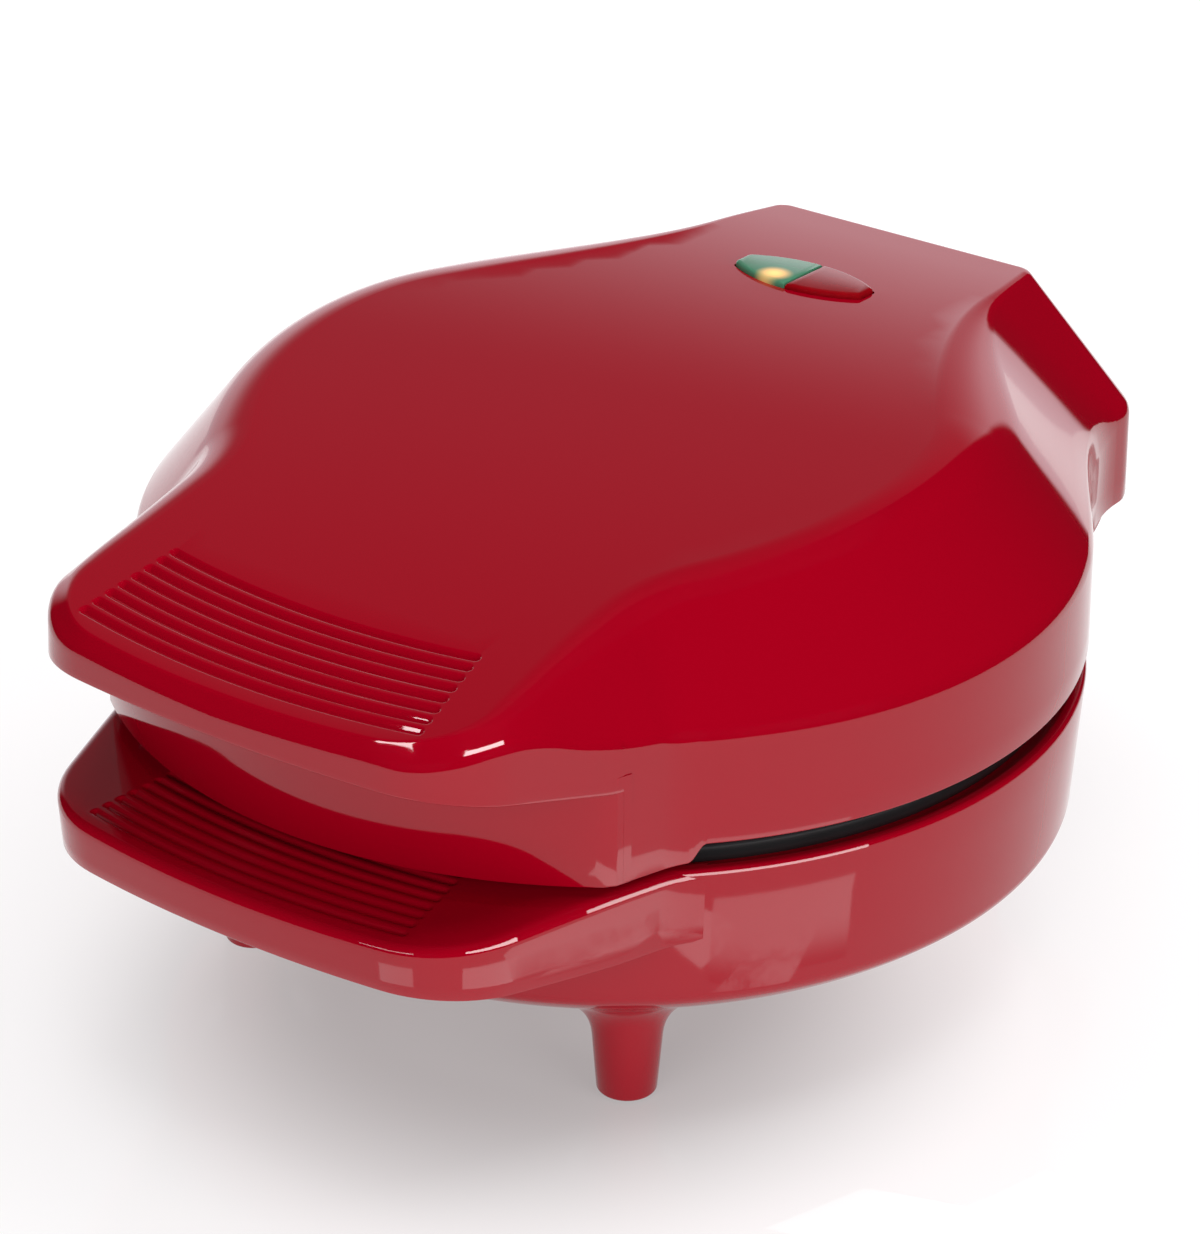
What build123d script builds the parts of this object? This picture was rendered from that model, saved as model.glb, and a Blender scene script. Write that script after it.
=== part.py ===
"""Bubble waffle maker: two hinged halves, each a moulded shell round a cast plate with bubble cells.

Millimetres, +Z up. The origin is on the table under the middle of the round body, which is also
the middle of the whole length. The grips point along -Y and the hinge lies along X at the back.
"""

from build123d import *
import math
import os

os.makedirs("parts", exist_ok=True)

# Round body and its heights above the table, lid closed
body_radius = 112.0
wall = 2.8
foot_height = 25.0
base_height = 44.5
rim_gap = 6.5
lid_wall_height = 25.0
crown_height = 35.0

# Grips and hinge hood, as half of the plan outline
grip_length = 31.5
grip_half_width = 58.0
grip_root_inset = 6.54
grip_front_radius = 275.0
grip_corner = 28.0
grip_neck = 28.0
hood_length = 31.5
hood_half_width = 60.5
hood_corner = 9.0
hood_neck = 45.0

# Deck: the long arched top, given as its outline at the height of its crest
deck_arch_radius = 780.0
deck_crest_y = 45.0
deck_body_inset = 28.5
deck_grip_inset = 7.5
deck_grip_half_width = 52.0
deck_grip_root_inset = 26.75
deck_grip_corner = 22.0
deck_neck = 38.0
deck_hood_inset = 21.5
deck_hood_half_width = 34.5
deck_hood_root_inset = 16.31
deck_hood_neck = 40.0
deck_hood_corner = 5.0

# Lid grip: skirt edge rises towards the front, throat wall closes the lid under it
skirt_front_rise = 28.3
skirt_root_rise = 18.0
throat_corner_inset = 14.5
throat_corner_x = 72.8
throat_bow = 25.0
throat_drop = 4.2
throat_step_inset = 34.0

# Finger grooves in both grips
groove_count = 8
groove_pitch = 3.6
groove_width = 2.2
groove_depth = 1.0
groove_half_angle = 9.9
lid_groove_inset = 7.8
base_groove_inset = 5.6

# Base
base_draft = 3.6
dish_fillet = 14.5
rim_fillet = 3.0
base_grip_drop = 2.2
base_grip_front_thickness = 11.8
base_grip_root_thickness = 18.5
base_grip_draft = 1.5
foot_side_share = 0.4911
front_foot_share = 0.6205
back_foot_share = 0.6875
foot_radius = 6.9
foot_top_radius = 9.5
foot_rise = 8.0
foot_root_fillet = 7.0
pad_recess = 1.0
pad_thickness = 1.5
pad_radius = 5.0

# Hinge
hinge_inset = 21.5
hinge_drop = 1.0
barrel_radius = 13.5
barrel_clearance = 0.6
barrel_end_gap = 0.7
hinge_neck_drop = 12.5
hinge_neck_overlap = 15.0
hinge_neck_end_gap = 7.0
cheek_drop = 4.0
cheek_front_offset = 10.0
hood_lip_height = 4.0
hood_lip_fillet = 6.5
pin_radius = 3.0
pin_length = 24.0
pin_clearance = 0.05
pin_chamfer = 0.5
pin_end_gap = 1.5
pivot_boss_radius = 7.0
pivot_boss_length = 7.5
pivot_clearance = 0.5

# Cooking plates
plate_side_gap = 6.0
plate_gap = 0.5
plate_rim_height = 4.6
plate_web = 3.0
tray_inset = 14.0
tray_draft = 20.0
cell_radius = 12.0
cell_depth = 11.0
cell_wall = 2.0
cell_pitch = 27.0
cell_field_inset = 34.0
ledge_overlap = 8.0
ledge_thickness = 2.5
plate_recess = 2.0

# Heating elements, reflectors and plate screws
element_radius = 3.3
element_inset = 16.0
element_bend = 8.0
element_gap_angle = 24.0
element_tail = 17.0
terminal_pin_radius = 1.2
terminal_pin_length = 5.0
reflector_thickness = 0.6
reflector_inset = 11.0
reflector_rim = 2.0
reflector_fillet = 5.0
tail_clearance = 0.5
reflector_depth = 26.0
screw_inset = 5.0
screw_radius = 1.75
screw_head_angle = 90.0
screw_length = 12.0
screw_head_radius = 3.4
screw_clearance = 0.3
boss_radius = 3.9
boss_length = 9.5

# Indicator lenses and lamps
lens_half_length = 18.3
lens_half_width = 8.6
lens_end_half_width = 3.0
lens_inset = 34.0
lens_proud = 1.4
lens_fit = 0.15
lens_split = 0.2
lens_flange = 1.4
lens_flange_thickness = 1.2
lamp_radius = 2.6
lamp_length = 14.0
lamp_half_spacing = 9.0
lamp_gap = 1.5
holder_thickness = 6.0
holder_half_width = 5.0
post_half_spacing = 24.0
post_radius = 3.6
lamp_screw_radius = 1.2
lamp_screw_length = 9.0
lamp_screw_head = 2.4

# Thermostat, thermal fuse, mains connector and cord inlet bush
thermostat_inset = 29.0
thermostat_radius = 7.5
thermostat_height = 7.0
thermostat_fillet = 1.0
thermostat_tab = (3.0, 0.8, 5.0)
fuse_radius = 1.8
fuse_length = 12.0
connector_size = (26.0, 14.0, 9.0)
connector_inset = 40.0
connector_fillet = 1.0
wire_hole_radius = 2.2
bush_height = 45.0
bush_bore_radius = 3.6
bush_radius = 6.0
bush_flange_radius = 8.5
bush_flange = 2.0
bush_lip = 1.2
bush_sag = 0.9

# Heights that follow from the sizes above
dish_z = foot_height
base_rim_z = foot_height + base_height
lid_edge_z = base_rim_z + rim_gap
shoulder_z = lid_edge_z + lid_wall_height
crest_z = shoulder_z + crown_height
hinge_z = lid_edge_z - hinge_drop

# Places and sizes in plan that follow from the round body
grip_reach = body_radius + grip_length
hood_reach = body_radius + hood_length
deck_body_radius = body_radius - deck_body_inset
grip_root_half = body_radius - grip_root_inset
deck_grip_root_half = deck_body_radius - deck_grip_root_inset
deck_hood_root_half = deck_body_radius - deck_hood_root_inset
throat_corner_y = body_radius - throat_corner_inset
throat_middle_y = throat_corner_y + throat_bow
throat_step_y = body_radius - throat_step_inset
foot_x = body_radius * foot_side_share
front_foot_y = body_radius * front_foot_share
back_foot_y = body_radius * back_foot_share
hinge_y = hood_reach - hinge_inset
hinge_neck_depth = hinge_y - body_radius + hinge_neck_overlap
lens_y = body_radius - lens_inset
connector_y = body_radius - connector_inset
plate_radius = body_radius - plate_side_gap
tray_radius = plate_radius - tray_inset
cell_field_radius = plate_radius - cell_field_inset
ledge_inner_radius = plate_radius - ledge_overlap
element_ring_radius = plate_radius - element_inset
reflector_radius = plate_radius - reflector_inset
screw_circle_radius = plate_radius - screw_inset
thermostat_x = plate_radius - thermostat_inset
cheek_inner_x = hood_half_width - wall
barrel_half_length = cheek_inner_x - barrel_end_gap
hinge_neck_half_length = barrel_half_length - hinge_neck_end_gap
pin_outer_x = barrel_half_length + pin_end_gap - pivot_clearance
pivot_pocket_depth = barrel_half_length - cheek_inner_x + pivot_boss_length + pivot_clearance
arch_centre_z = crest_z - deck_arch_radius
long = 400.0


# Sizes that the two halves share
screw_hole_depth = screw_length + screw_clearance - plate_rim_height
upper_plate_back_z = lid_edge_z + plate_recess
parting_z = upper_plate_back_z - plate_rim_height - plate_gap / 2
lower_plate_back_z = 2 * parting_z - upper_plate_back_z


def plan_outline(body, grip, hood):
    """Draws the outline of one half in plan: round body, flared grip in front, hinge hood behind."""
    reach, half, root_half, arc, corner, neck = grip
    back, back_half, back_root_half, back_corner, back_neck = hood
    corner_y = half**2 / (2 * arc) - reach
    Circle(body)
    with BuildLine(mode=Mode.PRIVATE) as grip_line:
        ThreePointArc((-half, corner_y), (0, -reach), (half, corner_y))
        Polyline((half, corner_y), (root_half, 0), (-root_half, 0), (-half, corner_y))
    make_face(grip_line.edges())
    with BuildLine(mode=Mode.PRIVATE) as hood_line:
        Polyline(
            (back_root_half, 0),
            (back_half, back),
            (-back_half, back),
            (-back_root_half, 0),
            close=True,
        )
    make_face(hood_line.edges())
    outline = BuildSketch._get_context()
    fillet(outline.vertices().sort_by(Axis.Y)[2:4], neck)
    fillet(outline.vertices().sort_by(Axis.Y)[-4:-2], back_neck)
    fillet(outline.vertices().sort_by(Axis.Y)[:2], corner)
    fillet(outline.vertices().sort_by(Axis.Y)[-2:], back_corner)


def lower_outline(inset, body_inset=0):
    """The outline at the parting line, drawn in by inset, with the round body a little smaller still."""
    grip = (
        grip_reach - inset,
        grip_half_width - inset,
        grip_root_half - inset,
        grip_front_radius - inset,
        grip_corner - inset,
        grip_neck + inset,
    )
    hood = (
        hood_reach - inset,
        hood_half_width - inset,
        hood_half_width - inset,
        hood_corner - inset,
        hood_neck + inset,
    )
    plan_outline(body_radius - inset - body_inset, grip, hood)


def deck_outline(inset):
    """The outline at the height of the deck's crest, drawn in by inset."""
    grip = (
        grip_reach - deck_grip_inset - inset,
        deck_grip_half_width - inset,
        deck_grip_root_half - inset,
        grip_front_radius - deck_grip_inset - inset,
        deck_grip_corner - inset,
        deck_neck + inset,
    )
    hood = (
        hood_reach - deck_hood_inset - inset,
        deck_hood_half_width - inset,
        deck_hood_root_half - inset,
        deck_hood_corner - inset,
        deck_hood_neck + inset,
    )
    plan_outline(deck_body_radius - inset, grip, hood)


def throat_line(back_offset, mode=Mode.ADD):
    """Draws the bowed line of the throat wall and closes it well in front of the grips."""
    side = throat_corner_x + wall
    side_y = throat_middle_y - (throat_middle_y - throat_corner_y) * (side / throat_corner_x) ** 2
    with BuildLine(mode=Mode.PRIVATE) as line:
        ThreePointArc(
            (-side, back_offset - side_y),
            (0, back_offset - throat_middle_y),
            (side, back_offset - side_y),
        )
        Polyline(
            (side, back_offset - side_y),
            (long, back_offset - side_y),
            (long, -long),
            (-long, -long),
            (-long, back_offset - side_y),
            (-side, back_offset - side_y),
        )
    make_face(line.edges(), mode=mode)


def groove_arcs(inset):
    """Draws the finger grooves, which are concentric with the front edge."""
    centre_y = grip_front_radius - grip_reach
    for row in range(groove_count):
        radius = grip_front_radius - inset - row * groove_pitch
        groove_line = CenterArc(
            (0, centre_y),
            radius,
            -90 - groove_half_angle,
            2 * groove_half_angle,
            mode=Mode.PRIVATE,
        )
        SlotArc(groove_line, groove_width)


def lens_outline(outset):
    """Draws the eye-shaped outline that the two lenses fill, with blunt ends."""
    end = lens_half_length + outset
    front = lens_y - lens_end_half_width - outset
    back = lens_y + lens_end_half_width + outset
    with BuildLine(mode=Mode.PRIVATE) as line:
        ThreePointArc((-end, back), (0, lens_y + lens_half_width + outset), (end, back))
        Line((end, back), (end, front))
        ThreePointArc((end, front), (0, lens_y - lens_half_width - outset), (-end, front))
        Line((-end, front), (-end, back))
    make_face(line.edges())


def lens_half(outset, side):
    """Draws one side of the lens outline, with half the split between the lenses left open."""
    lens_outline(outset)
    with Locations((side * (lens_split + long) / 2, lens_y)):
        Rectangle(long, long, mode=Mode.INTERSECT)


def arch_z(y, drop):
    """Height of the deck's arch at y, or of the arch lowered by drop."""
    radius = deck_arch_radius - drop
    return arch_centre_z + math.sqrt(radius**2 - (y - deck_crest_y) ** 2)


def keep_under_arch(drop, mode=Mode.INTERSECT):
    """Keeps what lies under the deck's arch lowered by drop, or cuts it away."""
    with BuildSketch(Plane.YZ.offset(-long)) as side:
        with Locations((deck_crest_y, arch_centre_z)):
            Circle(deck_arch_radius - drop)
    extrude(side.sketch, amount=2 * long, mode=mode)


# Grip gap: what the lid leaves open above the base's grip, in front of the throat wall
with BuildPart() as grip_gap:
    with BuildSketch(Plane.XY):
        throat_line(0)
    extrude(amount=crest_z)
    with BuildSketch(Plane.YZ.offset(-long)):
        with BuildLine(mode=Mode.PRIVATE) as skirt_line:
            Polyline(
                (-grip_reach, lid_edge_z + skirt_front_rise),
                (-throat_corner_y, lid_edge_z + skirt_root_rise),
                (0, lid_edge_z),
                (0, 0),
                (-long, 0),
                (-long, lid_edge_z + skirt_front_rise),
                close=True,
            )
        make_face(skirt_line.edges())
    extrude(amount=2 * long, mode=Mode.INTERSECT)

# Lid grooves: bars that reach a groove's depth into the arched deck
with BuildPart() as lid_grooves:
    with BuildSketch(Plane.XY.offset(lid_edge_z)):
        groove_arcs(lid_groove_inset)
    extrude(amount=crest_z - lid_edge_z)
    keep_under_arch(groove_depth, Mode.SUBTRACT)

# Inside of the lid, with the throat wall and the hood's lip left standing in it
room_floor_z = hinge_z - barrel_radius
with BuildPart() as lid_room:
    with BuildSketch(Plane.XY.offset(room_floor_z)):
        lower_outline(wall)
    extrude(amount=shoulder_z - room_floor_z)
    with BuildSketch(Plane.XY.offset(shoulder_z)):
        lower_outline(wall)
    with BuildSketch(Plane.XY.offset(crest_z)):
        deck_outline(wall)
    loft(ruled=True)
    keep_under_arch(wall)
    with BuildSketch(Plane.XY):
        throat_line(wall)
        throat_line(0, Mode.SUBTRACT)
    extrude(amount=crest_z, mode=Mode.SUBTRACT)
    with Locations((0, hinge_y + barrel_radius + barrel_clearance, hinge_z + hood_lip_height)):
        Box(2 * long, long, long, align=(Align.CENTER, Align.MIN, Align.MAX), mode=Mode.SUBTRACT)

lens_floor_z = arch_z(lens_y + lens_half_width, wall) - lens_flange_thickness
holder_z = lens_floor_z - lamp_gap - lamp_length
crown_fall = crest_z - arch_z(lens_y, 0)
with BuildPart() as lid_shell:
    with BuildSketch(Plane.XY.offset(lid_edge_z)):
        lower_outline(0)
    extrude(amount=lid_wall_height)
    with BuildSketch(Plane.XY.offset(shoulder_z)):
        lower_outline(0)
    with BuildSketch(Plane.XY.offset(crest_z)):
        deck_outline(0)
    loft(ruled=True)
    keep_under_arch(0)
    # The throat comes lower than the lid's edge
    with BuildSketch(Plane.XY.offset(lid_edge_z - throat_drop)):
        lower_outline(0)
        with Locations((0, -throat_step_y)):
            Rectangle(long, long, align=(Align.CENTER, Align.MAX), mode=Mode.INTERSECT)
    extrude(amount=throat_drop)
    # Cheeks of the hinge hood
    with BuildSketch(Plane.XY.offset(hinge_z - cheek_drop)):
        lower_outline(0)
        with Locations((0, hinge_y - cheek_front_offset)):
            Rectangle(long, long, align=(Align.CENTER, Align.MIN), mode=Mode.INTERSECT)
    extrude(amount=cheek_drop + hinge_drop)
    # The hood's lower back corner is round
    with BuildSketch(Plane.YZ.offset(-long)):
        with Locations((hood_reach - hood_lip_fillet, hinge_z - cheek_drop + hood_lip_fillet)):
            Rectangle(2 * hood_lip_fillet, 2 * hood_lip_fillet, align=(Align.MIN, Align.MAX))
            Circle(hood_lip_fillet, mode=Mode.SUBTRACT)
    extrude(amount=2 * long, mode=Mode.SUBTRACT)
    # Hollow
    add(lid_room.part, mode=Mode.SUBTRACT)
    add(grip_gap.part, mode=Mode.SUBTRACT)
    add(lid_grooves.part, mode=Mode.SUBTRACT)
    # Pivot bosses inside the cheeks
    for side in (-1, 1):
        with Locations((side * cheek_inner_x, hinge_y, hinge_z)):
            Cylinder(
                pivot_boss_radius,
                pivot_boss_length,
                rotation=(0, -90 * side, 0),
                align=(Align.CENTER, Align.CENTER, Align.MIN),
            )
    # Ledge that the plate's flange meets
    with BuildSketch(Plane.XY.offset(upper_plate_back_z)):
        lower_outline(wall / 2)
        throat_line(wall / 2, Mode.SUBTRACT)
        Circle(ledge_inner_radius, mode=Mode.SUBTRACT)
        with Locations((0, hinge_y - barrel_radius - barrel_clearance)):
            Rectangle(long, long, align=(Align.CENTER, Align.MIN), mode=Mode.SUBTRACT)
    extrude(amount=ledge_thickness)
    with BuildSketch(Plane.XY.offset(upper_plate_back_z)):
        with PolarLocations(screw_circle_radius, 4, start_angle=45):
            Circle(boss_radius)
    extrude(amount=boss_length)
    with BuildSketch(Plane.XY.offset(upper_plate_back_z)):
        with PolarLocations(screw_circle_radius, 4, start_angle=45):
            Circle(screw_radius)
    extrude(amount=screw_hole_depth, mode=Mode.SUBTRACT)
    # Window for the lenses
    with BuildSketch(Plane.XY.offset(crest_z - crown_height)):
        lens_outline(lens_fit)
    extrude(amount=crown_height + lens_proud, mode=Mode.SUBTRACT)
    # Posts that carry the lamp holder
    with BuildSketch(Plane.XY.offset(holder_z + holder_thickness)):
        with Locations((-post_half_spacing, lens_y), (post_half_spacing, lens_y)):
            Circle(post_radius)
    extrude(amount=crest_z - crown_fall - holder_z - holder_thickness - wall / 2)
    with BuildSketch(Plane.XY.offset(holder_z + holder_thickness)):
        with Locations((-post_half_spacing, lens_y), (post_half_spacing, lens_y)):
            Circle(lamp_screw_radius)
    extrude(amount=lamp_screw_length - holder_thickness + lamp_gap, mode=Mode.SUBTRACT)
    # Bores for the hinge pins
    with Locations((0, hinge_y, hinge_z)):
        Cylinder(
            pin_radius + pin_clearance,
            2 * (barrel_half_length + pin_end_gap),
            rotation=(0, 90, 0),
            mode=Mode.SUBTRACT,
        )
lid_shell.part.label = "lid_shell"
export_step(lid_shell.part, "parts/lid_shell.step")

# Lenses: green on the left, red on the right, each with a flange under the deck
for colour, side in (("green", -1), ("red", 1)):
    with BuildPart() as flange:
        with BuildSketch(Plane.XY.offset(lid_edge_z)):
            lens_half(lens_flange, side)
        extrude(amount=crest_z - lid_edge_z)
        keep_under_arch(wall)
        keep_under_arch(wall + lens_flange_thickness, Mode.SUBTRACT)
    with BuildPart() as lens:
        with BuildSketch(Plane.XY.offset(lid_edge_z)):
            lens_half(0, side)
        extrude(amount=crest_z + lens_proud - lid_edge_z)
        keep_under_arch(-lens_proud)
        keep_under_arch(wall + lens_flange_thickness, Mode.SUBTRACT)
        add(flange.part)
    lens.part.label = f"{colour}_lens"
    export_step(lens.part, f"parts/{colour}_lens.step")

# Lamps stand in their holder, one under each lens
for name, side in (("ready_lamp", -1), ("power_lamp", 1)):
    with BuildPart(Plane((side * lamp_half_spacing, lens_y, holder_z))) as lamp:
        Cylinder(lamp_radius, lamp_length, align=(Align.CENTER, Align.CENTER, Align.MIN))
        fillet(lamp.edges().sort_by(Axis.Z)[-1], lamp_radius / 2)
    lamp.part.label = name
    export_step(lamp.part, f"parts/{name}.step")

with BuildPart() as lamp_holder:
    with BuildSketch(Plane.XY.offset(holder_z)):
        with Locations((0, lens_y)):
            SlotCenterToCenter(2 * post_half_spacing, 2 * holder_half_width)
        with Locations((-lamp_half_spacing, lens_y), (lamp_half_spacing, lens_y)):
            Circle(lamp_radius, mode=Mode.SUBTRACT)
        with Locations((-post_half_spacing, lens_y), (post_half_spacing, lens_y)):
            Circle(lamp_screw_radius, mode=Mode.SUBTRACT)
    extrude(amount=holder_thickness)
lamp_holder.part.label = "lamp_holder"
export_step(lamp_holder.part, "parts/lamp_holder.step")

with BuildPart() as lamp_screws:
    for side in (-1, 1):
        with Locations((side * post_half_spacing, lens_y, holder_z)):
            Cylinder(lamp_screw_radius, lamp_screw_length, align=(Align.CENTER, Align.CENTER, Align.MIN))
            Cylinder(lamp_screw_head, lamp_screw_radius, align=(Align.CENTER, Align.CENTER, Align.MAX))
lamp_screws.part.label = "lamp_screws"
export_step(lamp_screws.part, "parts/lamp_screws.step")

# Base shell: a dish with a flared grip in front, the hinge barrel behind and four conical feet
dish_radius = body_radius - base_height * math.tan(math.radians(base_draft))
with BuildPart() as base_room:
    with BuildSketch(Plane.XZ) as room_half:
        with BuildLine(mode=Mode.PRIVATE) as room_line:
            Polyline(
                (0, dish_z + wall),
                (dish_radius - wall, dish_z + wall),
                (body_radius - wall, base_rim_z),
                (body_radius - wall, crest_z),
                (0, crest_z),
                close=True,
            )
        make_face(room_line.edges())
        fillet(room_half.vertices().group_by(Axis.Y)[0].sort_by(Axis.X)[-1], dish_fillet - wall)
    revolve()

# Side view of the base's grip, and the same drawn in by the wall on its top side
grip_front_top_z = base_rim_z - base_grip_drop
with BuildPart() as base_grip_hollow:
    with BuildSketch(Plane.XY):
        lower_outline(wall, base_grip_draft)
        Circle(body_radius, mode=Mode.SUBTRACT)
    extrude(amount=base_rim_z)
    with BuildSketch(Plane.YZ.offset(-long)):
        with BuildLine(mode=Mode.PRIVATE) as hollow_side:
            Polyline(
                (-grip_reach, grip_front_top_z - wall),
                (-throat_corner_y, base_rim_z - wall),
                (-throat_corner_y, 0),
                (-grip_reach, 0),
                close=True,
            )
        make_face(hollow_side.edges())
    extrude(amount=2 * long, mode=Mode.INTERSECT)

# The dish with its feet, whose roots are filleted
foot_bottom_z = pad_thickness - pad_recess
foot_places = [(side * foot_x, y) for y in (-front_foot_y, back_foot_y) for side in (-1, 1)]


def is_foot_root(edge):
    """Says whether an edge is where a foot meets the dish."""
    middle = edge.center()
    reach = min(math.hypot(middle.X - x, middle.Y - y) for x, y in foot_places)
    return middle.Z > dish_z - foot_root_fillet and reach < foot_top_radius + foot_root_fillet / 2


with BuildPart() as dish:
    with BuildSketch(Plane.XZ) as dish_half:
        with BuildLine(mode=Mode.PRIVATE) as dish_line:
            Polyline(
                (0, dish_z),
                (dish_radius, dish_z),
                (body_radius, base_rim_z),
                (0, base_rim_z),
                close=True,
            )
        make_face(dish_line.edges())
        fillet(dish_half.vertices().group_by(Axis.Y)[0].sort_by(Axis.X)[-1], dish_fillet)
        fillet(dish_half.vertices().group_by(Axis.Y)[-1].sort_by(Axis.X)[-1], rim_fillet)
    revolve()
    with Locations(*[(x, y, foot_bottom_z) for x, y in foot_places]):
        Cone(
            foot_radius,
            foot_top_radius,
            dish_z + foot_rise - foot_bottom_z,
            align=(Align.CENTER, Align.CENTER, Align.MIN),
        )
    fillet(dish.edges().filter_by(is_foot_root), foot_root_fillet)

with BuildPart() as base_shell:
    with BuildSketch(Plane.XY):
        lower_outline(0, base_grip_draft)
    extrude(amount=base_rim_z)
    with BuildSketch(Plane.YZ.offset(-long)):
        with BuildLine(mode=Mode.PRIVATE) as grip_side:
            Polyline(
                (-grip_reach, grip_front_top_z),
                (-throat_corner_y, base_rim_z),
                (-throat_step_y, base_rim_z),
                (-throat_step_y, base_rim_z - rim_fillet),
                (0, base_rim_z - rim_fillet),
                (0, base_rim_z - base_grip_root_thickness),
                (-throat_corner_y, base_rim_z - base_grip_root_thickness),
                (-grip_reach, grip_front_top_z - base_grip_front_thickness),
                close=True,
            )
        make_face(grip_side.edges())
    extrude(amount=2 * long, mode=Mode.INTERSECT)
    add(dish.part)
    # Neck and barrel of the hinge
    with Locations((0, hinge_y, hinge_z)):
        Box(
            2 * hinge_neck_half_length,
            hinge_neck_depth,
            hinge_neck_drop,
            align=(Align.CENTER, Align.MAX, Align.MAX),
        )
        Cylinder(barrel_radius, 2 * barrel_half_length, rotation=(0, 90, 0))
    # Hollow
    add(base_room.part, mode=Mode.SUBTRACT)
    add(base_grip_hollow.part, mode=Mode.SUBTRACT)
    with BuildSketch(Plane.XY.offset(base_rim_z)):
        groove_arcs(base_groove_inset)
    extrude(amount=-base_grip_drop - groove_depth, mode=Mode.SUBTRACT)
    with BuildSketch(Plane.XY.offset(foot_bottom_z + pad_recess + wall)):
        with Locations(*foot_places):
            Circle(foot_radius - wall)
    extrude(amount=dish_z, mode=Mode.SUBTRACT)
    with BuildSketch(Plane.XY.offset(foot_bottom_z)):
        with Locations(*foot_places):
            Circle(pad_radius)
    extrude(amount=pad_recess, mode=Mode.SUBTRACT)
    # Ledge that carries the plate's flange, and the bosses for its screws
    with BuildSketch(Plane.XY.offset(lower_plate_back_z)):
        Circle(body_radius - wall / 2)
        Circle(ledge_inner_radius, mode=Mode.SUBTRACT)
    extrude(amount=-ledge_thickness)
    with BuildSketch(Plane.XY.offset(lower_plate_back_z)):
        with PolarLocations(screw_circle_radius, 4, start_angle=45):
            Circle(boss_radius)
    extrude(amount=-boss_length)
    with BuildSketch(Plane.XY.offset(lower_plate_back_z)):
        with PolarLocations(screw_circle_radius, 4, start_angle=45):
            Circle(screw_radius)
    extrude(amount=-screw_hole_depth, mode=Mode.SUBTRACT)
    # Pockets for the lid's pivot bosses and bores for the pins
    for side in (-1, 1):
        with Locations((side * barrel_half_length, hinge_y, hinge_z)):
            Cylinder(
                pivot_boss_radius + pivot_clearance,
                pivot_pocket_depth,
                rotation=(0, -90 * side, 0),
                align=(Align.CENTER, Align.CENTER, Align.MIN),
                mode=Mode.SUBTRACT,
            )
            Cylinder(
                pin_radius,
                barrel_half_length - pin_outer_x + pin_length,
                rotation=(0, -90 * side, 0),
                align=(Align.CENTER, Align.CENTER, Align.MIN),
                mode=Mode.SUBTRACT,
            )
    # Hole for the cord's bush
    with BuildSketch(Plane.XZ.offset(-long)):
        with Locations((0, bush_height)):
            Circle(bush_radius)
    extrude(amount=long - dish_radius / 2, mode=Mode.SUBTRACT)
base_shell.part.label = "base_shell"
export_step(base_shell.part, "parts/base_shell.step")

# Hinge pins, pressed into the barrel from its ends
for name, side in (("hinge_pin_left", -1), ("hinge_pin_right", 1)):
    with BuildPart() as hinge_pin:
        with Locations((side * pin_outer_x, hinge_y, hinge_z)):
            Cylinder(
                pin_radius,
                pin_length,
                rotation=(0, -90 * side, 0),
                align=(Align.CENTER, Align.CENTER, Align.MIN),
            )
        chamfer(hinge_pin.edges(), pin_chamfer)
    hinge_pin.part.label = name
    export_step(hinge_pin.part, f"parts/{name}.step")

# Rubber pads under the feet
for place, (x, y) in zip(("front_left", "front_right", "back_left", "back_right"), foot_places):
    with BuildPart() as foot_pad:
        with Locations((x, y, 0)):
            Cylinder(pad_radius, pad_thickness, align=(Align.CENTER, Align.CENTER, Align.MIN))
    foot_pad.part.label = f"foot_pad_{place}"
    export_step(foot_pad.part, f"parts/foot_pad_{place}.step")

# Cooking plates: a tray inside a raised rim, with round cells in hexagonal order
tray_z = parting_z - plate_web / 2
cell_centre_z = tray_z - cell_depth + cell_radius
cell_rows = round(cell_field_radius / cell_pitch) + 1
row_pitch = cell_pitch * math.sin(math.radians(60))
cell_places = []
for row in range(-cell_rows, cell_rows + 1):
    for column in range(-2 * cell_rows, 2 * cell_rows + 1):
        x = (column + row / 2) * cell_pitch
        y = row * row_pitch
        if math.hypot(x, y) < cell_field_radius:
            cell_places.append((x, y, cell_centre_z))

with BuildPart() as lower_plate:
    with BuildSketch(Plane.XY.offset(lower_plate_back_z)):
        Circle(plate_radius)
    extrude(amount=plate_rim_height)
    with Locations(*cell_places):
        Sphere(cell_radius + cell_wall)
    with BuildSketch(Plane.XY.offset(tray_z)):
        Circle(tray_radius)
    extrude(amount=crest_z - tray_z, mode=Mode.SUBTRACT, taper=-tray_draft)
    with Locations(*cell_places):
        Sphere(cell_radius, mode=Mode.SUBTRACT)
    with Locations(Plane.XY.offset(parting_z - plate_gap / 2)):
        with PolarLocations(screw_circle_radius, 4, start_angle=45):
            CounterSinkHole(
                screw_radius + screw_clearance,
                screw_head_radius + screw_clearance,
                counter_sink_angle=screw_head_angle,
            )
lower_plate.part.label = "lower_plate"
export_step(lower_plate.part, "parts/lower_plate.step")

with BuildPart() as upper_plate:
    mirror(lower_plate.part, about=Plane.XY.offset(parting_z))
upper_plate.part.label = "upper_plate"
export_step(upper_plate.part, "parts/upper_plate.step")

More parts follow.
